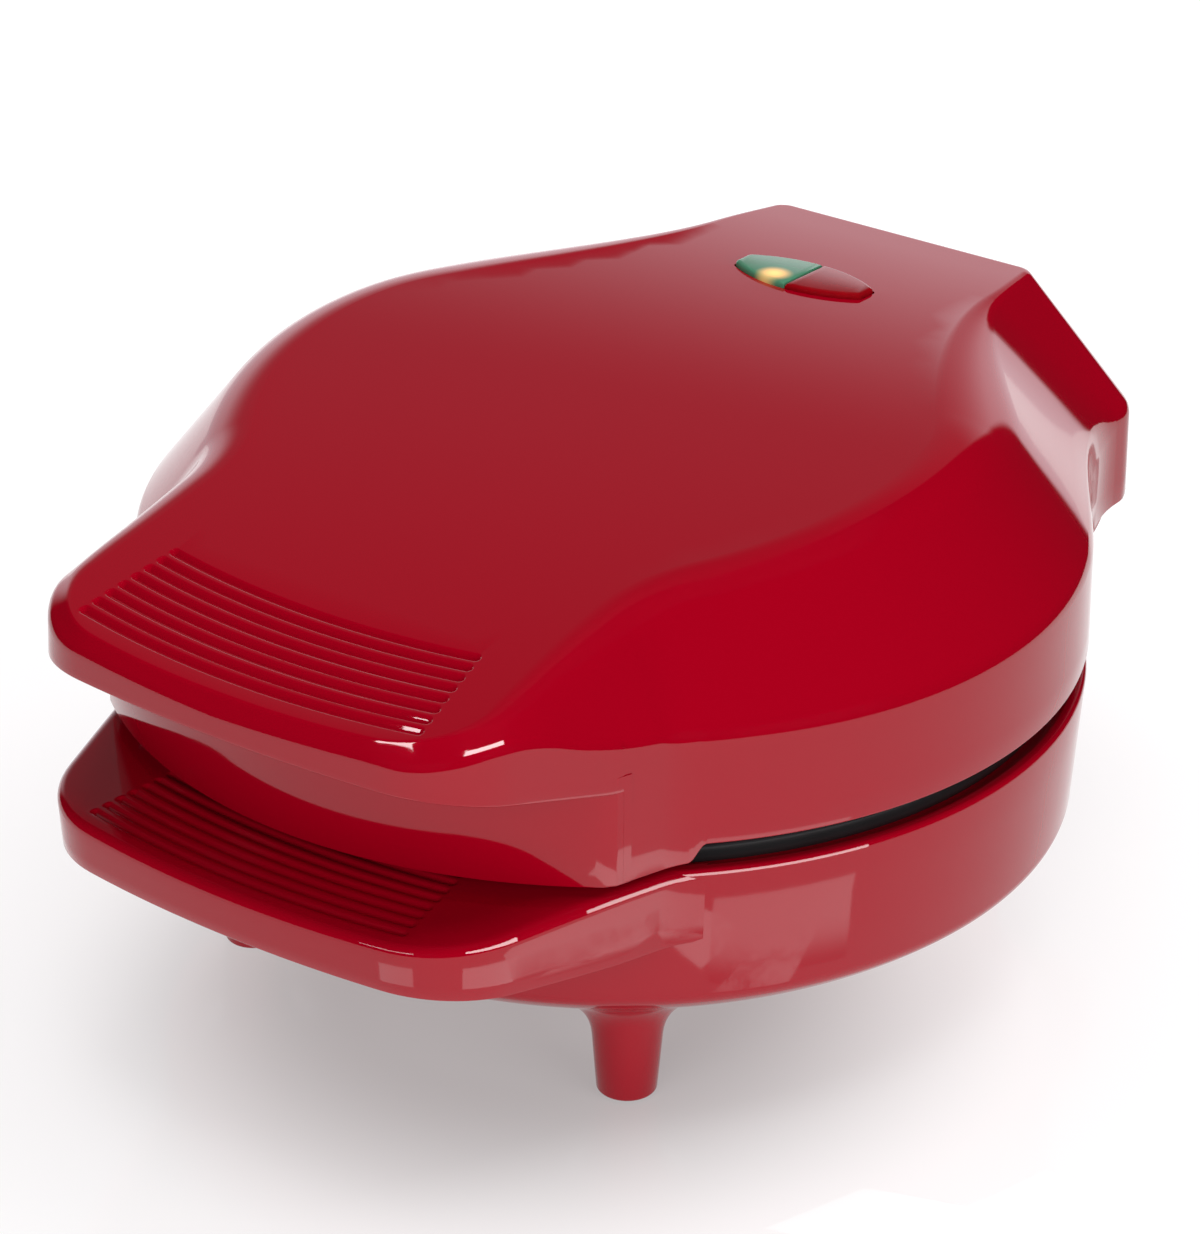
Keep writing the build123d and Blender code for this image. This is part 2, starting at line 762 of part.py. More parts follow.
# Heating elements: an open ring under each plate, bent into two straight tails with terminal pins
element_z = lower_plate_back_z - element_radius
gap_half_angle = math.radians(element_gap_angle / 2)
ring_end_x = element_ring_radius * math.sin(gap_half_angle)
ring_end_y = element_ring_radius * math.cos(gap_half_angle)
tail_x = ring_end_x - element_bend * math.cos(gap_half_angle)
tail_y = ring_end_y + element_bend * math.sin(gap_half_angle)
tail_top_z = element_z - element_bend
tail_end_z = tail_top_z - element_tail
bend_along = element_bend * math.sin(math.radians(45))
bend_down = element_bend - bend_along
with BuildPart() as lower_heating_element:
    with BuildLine():
        CenterArc(
            (0, 0, element_z),
            element_ring_radius,
            90 + element_gap_angle / 2,
            360 - element_gap_angle,
        )
        for side in (-1, 1):
            bend_x = side * (ring_end_x - bend_along * math.cos(gap_half_angle))
            bend_y = ring_end_y + bend_along * math.sin(gap_half_angle)
            ThreePointArc(
                (side * ring_end_x, ring_end_y, element_z),
                (bend_x, bend_y, element_z - bend_down),
                (side * tail_x, tail_y, tail_top_z),
            )
            Line((side * tail_x, tail_y, tail_top_z), (side * tail_x, tail_y, tail_end_z))
    with BuildSketch(Plane((tail_x, tail_y, tail_end_z))):
        Circle(element_radius)
    sweep()
    with Locations((-tail_x, tail_y, tail_end_z), (tail_x, tail_y, tail_end_z)):
        Cylinder(terminal_pin_radius, terminal_pin_length, align=(Align.CENTER, Align.CENTER, Align.MAX))
lower_heating_element.part.label = "lower_heating_element"
export_step(lower_heating_element.part, "parts/lower_heating_element.step")

with BuildPart() as upper_heating_element:
    mirror(lower_heating_element.part, about=Plane.XY.offset(parting_z))
upper_heating_element.part.label = "upper_heating_element"
export_step(upper_heating_element.part, "parts/upper_heating_element.step")

# Reflectors: sheet pans behind the elements
reflector_floor_z = lower_plate_back_z - reflector_depth
with BuildPart() as lower_reflector:
    with BuildSketch(Plane.XY.offset(reflector_floor_z)):
        Circle(reflector_radius)
    extrude(amount=reflector_depth)
    fillet(lower_reflector.edges().sort_by(Axis.Z)[0], reflector_fillet)
    offset(amount=-reflector_thickness, openings=lower_reflector.faces().sort_by(Axis.Z)[-1])
    with BuildSketch(Plane.XY.offset(lower_plate_back_z)):
        Circle(reflector_radius + reflector_rim)
        Circle(reflector_radius - reflector_thickness, mode=Mode.SUBTRACT)
    extrude(amount=-reflector_thickness)
    with BuildSketch(Plane.XY.offset(reflector_floor_z)):
        with Locations((-tail_x, tail_y), (tail_x, tail_y)):
            Circle(element_radius + tail_clearance)
    extrude(amount=reflector_fillet, mode=Mode.SUBTRACT)
lower_reflector.part.label = "lower_reflector"
export_step(lower_reflector.part, "parts/lower_reflector.step")

with BuildPart() as upper_reflector:
    mirror(lower_reflector.part, about=Plane.XY.offset(parting_z))
upper_reflector.part.label = "upper_reflector"
export_step(upper_reflector.part, "parts/upper_reflector.step")

# Plate screws: countersunk heads a little below the rim's face
screw_top_z = parting_z - plate_gap / 2 - screw_clearance
with BuildPart() as plate_screw:
    with BuildSketch(Plane.XZ):
        with BuildLine(mode=Mode.PRIVATE) as screw_line:
            Polyline(
                (0, screw_top_z),
                (screw_head_radius, screw_top_z),
                (screw_radius, screw_top_z - screw_head_radius + screw_radius),
                (screw_radius, screw_top_z - screw_length),
                (0, screw_top_z - screw_length),
                close=True,
            )
        make_face(screw_line.edges())
    revolve()
with BuildPart() as lower_plate_screws:
    with PolarLocations(screw_circle_radius, 4, start_angle=45):
        add(plate_screw.part)
lower_plate_screws.part.label = "lower_plate_screws"
export_step(lower_plate_screws.part, "parts/lower_plate_screws.step")

with BuildPart() as upper_plate_screws:
    mirror(lower_plate_screws.part, about=Plane.XY.offset(parting_z))
upper_plate_screws.part.label = "upper_plate_screws"
export_step(upper_plate_screws.part, "parts/upper_plate_screws.step")

# Thermostat on the back of the upper plate
with BuildPart() as thermostat:
    with Locations((thermostat_x, 0, upper_plate_back_z)):
        Cylinder(thermostat_radius, thermostat_height, align=(Align.CENTER, Align.CENTER, Align.MIN))
        fillet(thermostat.edges().sort_by(Axis.Z)[-1], thermostat_fillet)
    with Locations((thermostat_x, 0, upper_plate_back_z + thermostat_height)):
        with GridLocations(0.0, thermostat_radius, 1, 2):
            Box(*thermostat_tab, align=(Align.CENTER, Align.CENTER, Align.MIN))
thermostat.part.label = "thermostat"
export_step(thermostat.part, "parts/thermostat.step")

# Thermal fuse on the back of the lower plate
with BuildPart() as thermal_fuse:
    with Locations((thermostat_x, 0, lower_plate_back_z - fuse_radius)):
        Cylinder(fuse_radius, fuse_length, rotation=(90, 0, 0))
thermal_fuse.part.label = "thermal_fuse"
export_step(thermal_fuse.part, "parts/thermal_fuse.step")

# Terminal block on the floor of the base
with BuildPart() as terminal_block:
    with Locations((0, connector_y, dish_z + wall)):
        Box(*connector_size, align=(Align.CENTER, Align.CENTER, Align.MIN))
    fillet(terminal_block.edges().filter_by(Axis.Z), connector_fillet)
    with Locations((0, connector_y, dish_z + wall + connector_size[2] / 2)):
        with GridLocations(connector_size[0] / 3, 0, 3, 1):
            Cylinder(wire_hole_radius, connector_size[1], rotation=(90, 0, 0), mode=Mode.SUBTRACT)
terminal_block.part.label = "terminal_block"
export_step(terminal_block.part, "parts/terminal_block.step")

# Cord inlet bush, held in the back wall by its flange and lip
bush_wall_y = dish_radius + (bush_height - dish_z) * math.tan(math.radians(base_draft))
bush_inner_y = bush_wall_y - wall - bush_sag
with BuildPart() as cord_bush:
    with BuildSketch(Plane.XY.offset(bush_height)):
        with BuildLine(mode=Mode.PRIVATE) as bush_line:
            Polyline(
                (bush_bore_radius, bush_inner_y - bush_lip),
                (bush_radius + bush_lip, bush_inner_y - bush_lip),
                (bush_radius + bush_lip, bush_inner_y),
                (bush_radius, bush_inner_y),
                (bush_radius, bush_wall_y + bush_sag),
                (bush_flange_radius, bush_wall_y + bush_sag),
                (bush_flange_radius, bush_wall_y + bush_sag + bush_flange),
                (bush_bore_radius, bush_wall_y + bush_sag + bush_flange),
                close=True,
            )
        make_face(bush_line.edges())
    revolve(axis=Axis((0, 0, bush_height), (0, 1, 0)))
cord_bush.part.label = "cord_bush"
export_step(cord_bush.part, "parts/cord_bush.step")
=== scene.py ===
import bisect
import math

import bmesh
import bpy
from mathutils import Matrix, Vector, kdtree
from mathutils.geometry import delaunay_2d_cdt


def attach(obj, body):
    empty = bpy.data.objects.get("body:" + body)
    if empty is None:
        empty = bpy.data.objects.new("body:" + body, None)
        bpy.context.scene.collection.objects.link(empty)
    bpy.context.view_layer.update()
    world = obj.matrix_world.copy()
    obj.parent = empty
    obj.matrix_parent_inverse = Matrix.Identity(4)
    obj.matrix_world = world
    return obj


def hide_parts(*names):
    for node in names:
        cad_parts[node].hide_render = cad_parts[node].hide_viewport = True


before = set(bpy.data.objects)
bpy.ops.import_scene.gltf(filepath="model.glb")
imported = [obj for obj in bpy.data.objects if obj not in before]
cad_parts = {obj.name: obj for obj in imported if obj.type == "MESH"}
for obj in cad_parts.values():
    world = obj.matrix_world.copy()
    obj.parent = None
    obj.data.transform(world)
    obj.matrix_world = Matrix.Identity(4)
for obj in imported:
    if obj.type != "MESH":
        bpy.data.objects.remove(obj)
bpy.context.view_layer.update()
print("frame loaded:", len(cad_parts), "nodes")

mm = 0.001  # the sizes below are in millimetres, and Blender's are in metres


# small tools for meshes: a skin is a list of points and a list of faces
def newSkin():
    return {"points": [], "faces": []}


def addRing(skin, points):
    start = len(skin["points"])
    skin["points"] += [tuple(p) for p in points]
    return list(range(start, start + len(points)))


def bridge(skin, first, second, closed=True):
    count = len(first)
    for i in range(count if closed else count - 1):
        j = (i + 1) % count
        skin["faces"].append((first[i], first[j], second[j], second[i]))


def bridgeAll(skin, rings, closed=True):
    for first, second in zip(rings, rings[1:]):
        bridge(skin, first, second, closed)


# whole ring of a right half that starts and ends on the middle line
def mirrored(points):
    return points + [(-p[0], *p[1:]) for p in points[-2:0:-1]]


# even steps from start to end
def spread(start, end, count):
    return [start + (end - start) * k / count for k in range(count + 1)]


def wholeTurn(count):
    return spread(0, 2 * math.pi, count)[:-1]


def polar(radius, a):
    return radius * math.cos(a), radius * math.sin(a)


def rotated(x, y, a):
    return x * math.cos(a) - y * math.sin(a), x * math.sin(a) + y * math.cos(a)


def circle(x, y, radius, count):
    return [(x + px, y + py) for px, py in [polar(radius, a) for a in wholeTurn(count)]]


def isInside(x, y, loop):
    inside = False
    xa, ya = loop[-1]
    for xb, yb in loop:
        if (ya > y) != (yb > y) and x < (xb - xa) * (y - ya) / (yb - ya) + xa:
            inside = not inside
        xa, ya = xb, yb
    return inside


# fills a flat or curved cap between loops of a skin's points, seen from above
def fillCap(skin, outer, holes=(), height=None, spacing=0.0):
    loops = [[skin["points"][i][:2] for i in loop] for loop in [outer, *holes]]
    indexes = [i for loop in [outer, *holes] for i in loop]
    plan = [p for loop in loops for p in loop]
    edges = []
    start = 0
    for loop in loops:
        count = len(loop)
        edges += [(start + i, start + (i + 1) % count) for i in range(count)]
        start += count
    reaches = []
    for hole in loops[1:]:
        xs, ys = zip(*hole)
        reaches.append((hole, min(xs), max(xs), min(ys), max(ys)))

    def inCap(x, y):
        near = [hole for hole, west, east, south, north in reaches if west < x < east and south < y < north]
        return isInside(x, y, loops[0]) and not any(isInside(x, y, hole) for hole in near)

    if spacing:
        near = kdtree.KDTree(len(plan))
        for i, (x, y) in enumerate(plan):
            near.insert((x, y, 0), i)
        near.balance()
        columns, rows = (range(math.floor(min(run) / spacing), math.ceil(max(run) / spacing) + 1)
                         for run in zip(*plan))
        for x, y in [(column * spacing, row * spacing) for column in columns for row in rows]:
            if near.find((x, y, 0))[2] > 0.6 * spacing and inCap(x, y):
                plan.append((x, y))
    found = delaunay_2d_cdt([Vector(p) for p in plan], edges, [], 0, 1e-7)
    places = []
    for vertex, origins in zip(found[0], found[3]):
        known = [o for o in origins if o < len(indexes)]
        if known:
            places.append(indexes[known[0]])
        else:
            places += addRing(skin, [(vertex.x, vertex.y, height(vertex.x, vertex.y))])
    for face in found[2]:
        x, y = (sum(found[0][i][axis] for i in face) / len(face) for axis in (0, 1))
        if inCap(x, y):
            skin["faces"].append(tuple(places[i] for i in face))


# points of an arc that rounds a corner between two straight runs
def roundedCorner(before, corner, after, radius, steps, share=0.47):
    before, corner, after = Vector(before), Vector(corner), Vector(after)
    a, b = before - corner, after - corner
    room = share * a.length, share * b.length
    a.normalize()
    b.normalize()
    angle = max(a.angle(b), 0.02)
    if angle > math.pi - 0.02:
        return [corner + (a if f < 0 else b) * abs(f) for f in spread(-0.5, 0.5, steps)]
    reach = min(radius / math.tan(angle / 2), *room)
    radius = reach * math.tan(angle / 2)
    centre = corner + (a + b).normalized() * (radius / math.sin(angle / 2))
    u = corner + a * reach - centre
    v = corner + b * reach - centre
    sweep = math.pi - angle
    return [centre + (u * math.sin((1 - f) * sweep) + v * math.sin(f * sweep)) / math.sin(sweep)
            for f in spread(0, 1, steps)]


# turns a profile of radius and height pairs round an axis, closed where it starts and ends on it
def lathe(skin, profile, segments, place=lambda r, h, a: (*polar(r, a), h)):
    rings = []
    for radius, height in profile:
        if radius < 1e-6:
            rings.append(addRing(skin, [place(0, height, 0)]) * segments)
        else:
            rings.append(addRing(skin, [place(radius, height, turn) for turn in wholeTurn(segments)]))
    for first, second in zip(rings, rings[1:]):
        for i in range(segments):
            j = (i + 1) % segments
            skin["faces"].append(tuple(dict.fromkeys((first[i], first[j], second[j], second[i]))))
    return rings


# draws a closed plan loop in by a distance
def insetLoop(loop, distance):
    after = [*loop[1:], loop[0]]
    area = sum(here[0] * there[1] - there[0] * here[1] for here, there in zip(loop, after))
    turn = 1 if area > 0 else -1
    points = []
    for trio in zip([loop[-1], *loop], loop, after):
        before, here, there = (Vector(p[:2]) for p in trio)
        a, b = (here - before).normalized(), (there - here).normalized()
        normal = Vector((-a.y - b.y, a.x + b.x)) * turn
        normal.normalize()
        square = Vector((-a.y, a.x)) * turn
        points.append(here + normal * distance / max(normal.dot(square), 0.4))
    return points


# closed solid over a plan loop: steps are inset and height pairs, where a height may be a function of x, y
def prism(skin, loop, steps, holes=()):
    def ringAt(points, height):
        return addRing(skin, [(x, y, height(x, y) if callable(height) else height) for x, y in points])

    rings = [ringAt(insetLoop(loop, inset) if inset else [Vector(p) for p in loop], height)
             for inset, height in steps]
    bridgeAll(skin, rings)
    ends = []
    for hole in holes:
        ends.append([ringAt(hole, height) for _, height in (steps[0], steps[-1])])
        bridge(skin, *ends[-1])
    fillCap(skin, rings[0], [low for low, _ in ends])
    fillCap(skin, rings[-1], [top for _, top in ends])


def share(low, high, value):
    return min(max((value - low) / (high - low), 0), 1)


def smoothStep(low, high, value):
    f = share(low, high, value)
    return f * f * (3 - 2 * f)


# point or number at f between two ends, with the ways it leaves one and arrives at the other
def hermite(f, start, leave, end, arrive):
    return (start * (2 * f**3 - 3 * f**2 + 1) + leave * (f**3 - 2 * f**2 + f)
            + end * (3 * f**2 - 2 * f**3) + arrive * (f**3 - f**2))


# smooth curve through a table of places and values
def fromTable(table, value):
    keys = [k for k, _ in table]
    i = min(max(bisect.bisect_right(keys, value) - 1, 0), len(table) - 2)

    def slope(j):
        low, high = max(j - 1, 0), min(j + 1, len(table) - 1)
        return (table[high][1] - table[low][1]) / (table[high][0] - table[low][0])

    (ka, va), (kb, vb) = table[i], table[i + 1]
    span = kb - ka
    return hermite(share(ka, kb, value), va, span * slope(i), vb, span * slope(i + 1))


def newMesh(name, skin):
    mesh = bpy.data.meshes.new(name)
    mesh.from_pydata([(x * mm, y * mm, z * mm) for x, y, z in skin["points"]], [], skin["faces"])
    return mesh


def addObject(name, data):
    made = bpy.data.objects.new(name, data)
    bpy.context.scene.collection.objects.link(made)
    return made


# makes one closed, smooth-shaded piece of a skin, ties it to its body and hides the node it stands for
def makePiece(name, skin, finish, body, node, sharp):
    mesh = newMesh(name, skin)
    work = bmesh.new()
    work.from_mesh(mesh)
    bmesh.ops.remove_doubles(work, verts=work.verts, dist=0.004 * mm)
    bmesh.ops.recalc_face_normals(work, faces=work.faces)
    openEdges = sum(len(edge.link_faces) != 2 for edge in work.edges)
    work.to_mesh(mesh)
    work.free()
    mesh.polygons.foreach_set("use_smooth", [True] * len(mesh.polygons))
    mesh.set_sharp_from_angle(angle=math.radians(sharp))
    mesh.materials.append(materials[finish])
    piece = addObject(name, mesh)
    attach(piece, body)
    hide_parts(node)
    print(f"made {name}: {len(mesh.polygons)} faces, {openEdges} open edges")


# a number in a node tree: sums and products of such numbers add Math nodes
class treeNumber:
    def __init__(self, socket):
        self.socket = socket

    def calc(self, operation, *others):
        return fromNode(self.socket.id_data, "ShaderNodeMath", dict(enumerate((self, *others))),
                        operation=operation)

    def __add__(self, other):
        return self.calc("ADD", other)

    def __sub__(self, other):
        return self.calc("SUBTRACT", other)

    def __rsub__(self, other):
        return self * -1.0 + other

    def __mul__(self, other):
        return self.calc("MULTIPLY", other)

    def __truediv__(self, other):
        return self.calc("DIVIDE", other)

    # goes from start to end while this number goes from low to high
    def ramp(self, low, high, start, end, shape="SMOOTHSTEP"):
        return fromNode(self.socket.id_data, "ShaderNodeMapRange", {
            "Value": self, "From Min": low, "From Max": high, "To Min": start, "To Max": end},
            interpolation_type=shape)


def setInputs(node, sockets):
    for key, value in sockets.items():
        value = value.socket if isinstance(value, treeNumber) else value
        if isinstance(value, bpy.types.NodeSocket):
            node.id_data.links.new(value, node.inputs[key])
        else:
            node.inputs[key].default_value = value


def addNode(tree, kind, sockets=None, **settings):
    node = tree.nodes.new(kind)
    for key, value in settings.items():
        setattr(node, key, value)
    setInputs(node, sockets or {})
    return node


# one output of a new node
def fromNode(tree, kind, sockets=None, output=0, **settings):
    return treeNumber(addNode(tree, kind, sockets, **settings).outputs[output])


def splitXYZ(tree, vector):
    return [treeNumber(part) for part in addNode(tree, "ShaderNodeSeparateXYZ", {"Vector": vector}).outputs]


def newMaterial(name):
    material = bpy.data.materials.new(name)
    material.use_nodes = True
    return material, material.node_tree, material.node_tree.nodes["Principled BSDF"]


def mixColour(tree, factor, first, second):
    return fromNode(tree, "ShaderNodeMix", {"Factor": factor, 6: first, 7: second}, 2, data_type="RGBA")


# distance in the object's own coordinates from a place in metres
def distanceFrom(tree, place):
    here = fromNode(tree, "ShaderNodeTexCoord", output="Object")
    return fromNode(tree, "ShaderNodeVectorMath", {0: here, 1: place}, "Value", operation="DISTANCE")


# a finish with uneven colour and gloss and a fine surface, all in Object coordinates, and for a finish with a
# spot a painted glow round a point
def makeMaterial(name, finish):
    material, tree, shader = newMaterial(name)
    place = fromNode(tree, "ShaderNodeTexCoord", output="Object")
    cloud, grain = (fromNode(tree, "ShaderNodeTexNoise", {"Vector": place, "Scale": scale, "Detail": detail})
                    for scale, detail in zip(finish["scales"], (3.0, 4.0)))
    first, second = ((*colour, 1) for colour in finish["colours"])
    strength, depth = finish["bump"]
    bump = fromNode(tree, "ShaderNodeBump", {"Height": grain, "Strength": strength, "Distance": depth * mm})
    rough = grain.ramp(0.0, 1.0, *finish["rough"], "LINEAR")
    setInputs(shader, {"Base Color": mixColour(tree, cloud, first, second), "Roughness": rough,
                       "Normal": bump, **finish.get("shader", {})})
    # painted glow: the surface gives off light round a point, fading out over a radius
    if "spot" in finish:
        spot = finish["spot"]
        away = distanceFrom(tree, [c * mm for c in spot["place"]])
        glow = away.ramp(spot["core"] * mm, spot["radius"] * mm, spot["strength"], 0.0)
        setInputs(shader, {"Emission Strength": glow})
    return material


# colours, noise scales of colour and grain, roughness, bump and its depth, and the shader's own values; the
# green lens adds a spot of painted glow
finishes = {
    "redPlastic": {"colours": ((0.3, 0.0, 0.0085), (0.285, 0.0, 0.0082)), "scales": (9.0, 240.0),
                   "rough": (0.05, 0.075), "bump": (0.03, 0.02), "shader": {"IOR": 1.46}},
    "plateCoating": {"colours": ((0.012, 0.012, 0.013), (0.02, 0.02, 0.021)), "scales": (60.0, 2600.0),
                     "rough": (0.24, 0.38), "bump": (0.25, 0.05)},
    "elementSheath": {"colours": ((0.10, 0.09, 0.085), (0.16, 0.13, 0.11)), "scales": (120.0, 900.0),
                      "rough": (0.38, 0.55), "bump": (0.2, 0.05), "shader": {"Metallic": 1.0}},
    "reflectorSheet": {"colours": ((0.62, 0.62, 0.61), (0.54, 0.54, 0.54)), "scales": (30.0, 700.0),
                       "rough": (0.22, 0.34), "bump": (0.1, 0.05), "shader": {"Metallic": 1.0}},
    "screwSteel": {"colours": ((0.52, 0.52, 0.53), (0.42, 0.42, 0.43)), "scales": (300.0, 2000.0),
                   "rough": (0.2, 0.32), "bump": (0.1, 0.03), "shader": {"Metallic": 1.0}},
    "whitePlastic": {"colours": ((0.68, 0.67, 0.63), (0.6, 0.59, 0.55)), "scales": (60.0, 1200.0),
                     "rough": (0.4, 0.5), "bump": (0.1, 0.04)},
    "blackRubber": {"colours": ((0.018, 0.018, 0.018), (0.028, 0.028, 0.028)), "scales": (90.0, 1800.0),
                    "rough": (0.55, 0.7), "bump": (0.3, 0.06)},
    # the green lens has a painted orange glow spot: its emission colour and the spot below
    "greenLens": {"colours": ((0.07, 0.34, 0.2), (0.12, 0.28, 0.17)), "scales": (260.0, 500.0),
                  "rough": (0.03, 0.06), "bump": (0.05, 0.03),
                  "shader": {"Transmission Weight": 0.35, "Emission Color": (1.0, 0.42, 0.1, 1)},
                  "spot": {"place": (-5.6, 73.4, 136.0), "core": 0.6, "radius": 5.2, "strength": 1.5}},
    "redLens": {"colours": ((0.42, 0.003, 0.008), (0.25, 0.002, 0.006)), "scales": (260.0, 500.0),
                "rough": (0.03, 0.06), "bump": (0.05, 0.03), "shader": {"Transmission Weight": 0.3}},
    "lampGlass": {"colours": ((0.9, 0.45, 0.12), (0.9, 0.4, 0.1)), "scales": (200.0, 500.0),
                  "rough": (0.05, 0.1), "bump": (0.05, 0.03),
                  "shader": {"Emission Color": (1.0, 0.38, 0.05, 1), "Emission Strength": 2.0}},
}
materials = {name: makeMaterial(name, finish) for name, finish in finishes.items()}
print("materials ready")


# plan outline that both halves share
plan = {
    "bodyRadius": 112.0,
    "grip": {"reach": 143.5, "half": 58.0, "flare": 18.3, "front": 275.0, "corner": 28.0, "neck": 28.0},
    "hood": {"reach": 143.5, "half": 60.5, "flare": 0.0, "corner": 9.0, "neck": 78.0},
    "deckBodyRadius": 83.5,
    "deckGrip": {"reach": 136.0, "half": 52.0, "flare": 2.0, "front": 267.5, "corner": 22.0, "neck": 38.0},
    "deckHood": {"reach": 122.0, "half": 34.5, "flare": 15.0, "corner": 5.0, "neck": 75.0},
    "stations": (14, 14, 14, 12, 64, 14, 8, 10, 10),
}


# distance along a line from p to where it meets a circle round (0, cy)
def meet(p, way, radius, pick, cy=0.0):
    along = p.x * way.x + (p.y - cy) * way.y
    root = math.sqrt(along**2 - p.x**2 - (p.y - cy) ** 2 + radius**2)
    return pick(-along - root, -along + root)


def angleOf(way):
    return math.atan2(way.y, way.x)


# the right half of an outline: nine arcs and lines from the front middle to the back middle
def planCurve(body, grip, hood):
    half, corner, neck = grip["half"], grip["corner"], grip["neck"]
    sag = half**2 / (2 * grip["front"])
    cornerY = sag - grip["reach"]
    frontRadius = (half**2 + sag**2) / (2 * sag)
    frontY = frontRadius - grip["reach"]
    side = Vector((grip["reach"] * math.tan(math.radians(grip["flare"])), -cornerY)).normalized()
    out = Vector((side.y, -side.x))
    p = Vector((half, cornerY)) - out * corner
    cornerCentre = p + side * meet(p, side, frontRadius - corner, lambda a, b: min(a, b, key=abs), frontY)
    frontEnd = math.atan2(cornerCentre.y - frontY, cornerCentre.x)
    p = Vector((half, cornerY)) + out * neck
    neckCentre = p + side * meet(p, side, body + neck, min)
    backRoot = Vector((hood["half"] + hood["reach"] * math.tan(math.radians(hood["flare"])), 0))
    cheek = (Vector((hood["half"], hood["reach"])) - backRoot).normalized()
    cheekOut = Vector((cheek.y, -cheek.x))
    p = backRoot + cheekOut * hood["neck"]
    backCentre = p + cheek * meet(p, cheek, body + hood["neck"], max)
    p = backRoot - cheekOut * hood["corner"]
    hoodCentre = p + cheek * ((hood["reach"] - hood["corner"] - p.y) / cheek.y)
    sideAngle, cheekAngle = angleOf(out), angleOf(cheekOut)
    neckAngle, backAngle = angleOf(neckCentre), angleOf(backCentre)
    return [
        (Vector((0, frontY)), frontRadius, -math.pi / 2, frontEnd, 1),
        (cornerCentre, corner, frontEnd, sideAngle, 1),
        (cornerCentre + out * corner, neckCentre - out * neck, out),
        (neckCentre, neck, sideAngle + math.pi, neckAngle + math.pi, -1),
        (Vector((0, 0)), body, neckAngle, backAngle, 1),
        (backCentre, hood["neck"], backAngle + math.pi, cheekAngle + math.pi, -1),
        (backCentre - cheekOut * hood["neck"], hoodCentre + cheekOut * hood["corner"], cheekOut),
        (hoodCentre, hood["corner"], cheekAngle, math.pi / 2, 1),
        (Vector((hoodCentre.x, hood["reach"])), Vector((0, hood["reach"])), Vector((0, 1))),
    ]


lowerCurve = planCurve(plan["bodyRadius"], plan["grip"], plan["hood"])
deckCurve = planCurve(plan["deckBodyRadius"], plan["deckGrip"], plan["deckHood"])


# point and outward normal at u, which counts the outline's arcs and lines
def planPoint(u, curve=lowerCurve):
    k = min(int(u), 8)
    f = u - k
    if len(curve[k]) == 3:
        first, last, out = curve[k]
        return first.lerp(last, f), out
    centre, radius, start, end, side = curve[k]
    way = Vector(polar(1, start + (end - start) * f))
    return centre + way * radius, way * side


# point at u, drawn in from the outline, at a height
def insetPoint(u, inset, z):
    p, out = planPoint(u)
    return Vector((p.x - out.x * inset, p.y - out.y * inset, z))


# places along the outline: so many on each of its arcs and lines, and the last one's end
def placesAlong(counts):
    return [k + j / count for k, count in enumerate(counts) for j in range(count)] + [float(len(counts))]


# u where the lower outline's side is at y
def placeAtY(y):
    low, high = 1.0, 7.999
    for _ in range(60):
        middle = (low + high) / 2
        if planPoint(middle)[0].y < y:
            low = middle
        else:
            high = middle
    return low


# lid: the tables give values along the outline, whose arcs and lines are counted by u
lid = {
    "edge": 76.0, "wallTop": 101.0, "crest": 136.0, "archRadius": 780.0, "archY": 45.0, "wall": 2.8,
    "throatDrop": 4.2, "skirtRoot": 94.0, "skirtFront": 104.3, "skirtFrom": -97.5, "skirtRun": 46.0,
    "cutY": -96.0, "stepY": -79.0, "stepHalf": 1.6, "hoodY": 112.0, "hoodHalf": 0.6, "hoodDrop": 5.0,
    "firstGroove": 267.2, "grooveDepth": 1.0, "grooveAngle": 9.9,
    "edgeRound": 0.5, "lipWall": 7.4, "lipRound": 6.5, "lipTop": 79.0, "wallLean": 0.35, "deckIn": 1.8,
    "wallFillet": 7.0, "gripFillet": 4.6, "neckFillet": 14.0,
    "fillFrom": 4.78, "fillTo": 6.2, "neckBend": 0.7, "windowGap": 0.3,
    "deckFillets": [(0, 2), (1.5, 2), (2.2, 8), (3.0, 13), (4.0, 16), (4.6, 18), (4.9, 28), (5.4, 34),
                    (6.0, 14), (6.2, 5), (7.0, 3), (9.0, 3)],
    "deckShift": [(0, 0), (2.4, 0), (3.2, 1.0), (4.0, 1.3), (4.3, 1.8), (4.5, 2.4), (4.7, 2.7), (5.0, 2.6),
                  (5.5, 2.0), (6.0, 0.6), (6.3, 0), (7.0, 0), (9.0, 0)],
    "wallTops": [(0, 109.6), (0.9, 110.8), (1.25, 110.4), (1.6, 112.0), (1.85, 113.4), (2.05, 113.2),
                 (2.25, 111.2), (2.45, 108.2), (2.65, 106.0), (2.85, 104.4), (3.3, 102.8), (3.7, 102.3),
                 (4.1, 102.2), (4.8, 102.2), (5.2, 100.5), (5.7, 97.4), (6.0, 96.0), (9.0, 96.0)],
}


def archZ(y, drop=0.0):
    radius = lid["archRadius"] - drop
    return lid["crest"] - lid["archRadius"] + math.sqrt(radius**2 - (y - lid["archY"]) ** 2)


def archOver(x, y):
    return archZ(y)


def archUnder(x, y):
    return archZ(y, lid["wall"])


# first and last y of a step in the lid's lower edge
def stepEnds(name):
    return lid[name + "Y"] - lid[name + "Half"], lid[name + "Y"] + lid[name + "Half"]


# height of the lid's lower edge on its side, at y
def lidBottom(y):
    if y < lid["cutY"]:
        rise = lid["skirtFront"] - lid["skirtRoot"]
        return lid["skirtRoot"] + rise * share(0, lid["skirtRun"], lid["skirtFrom"] - y)
    low = lid["edge"] - lid["throatDrop"]
    low += lid["throatDrop"] * smoothStep(*stepEnds("step"), y)
    return low - lid["hoodDrop"] * smoothStep(*stepEnds("hood"), y)


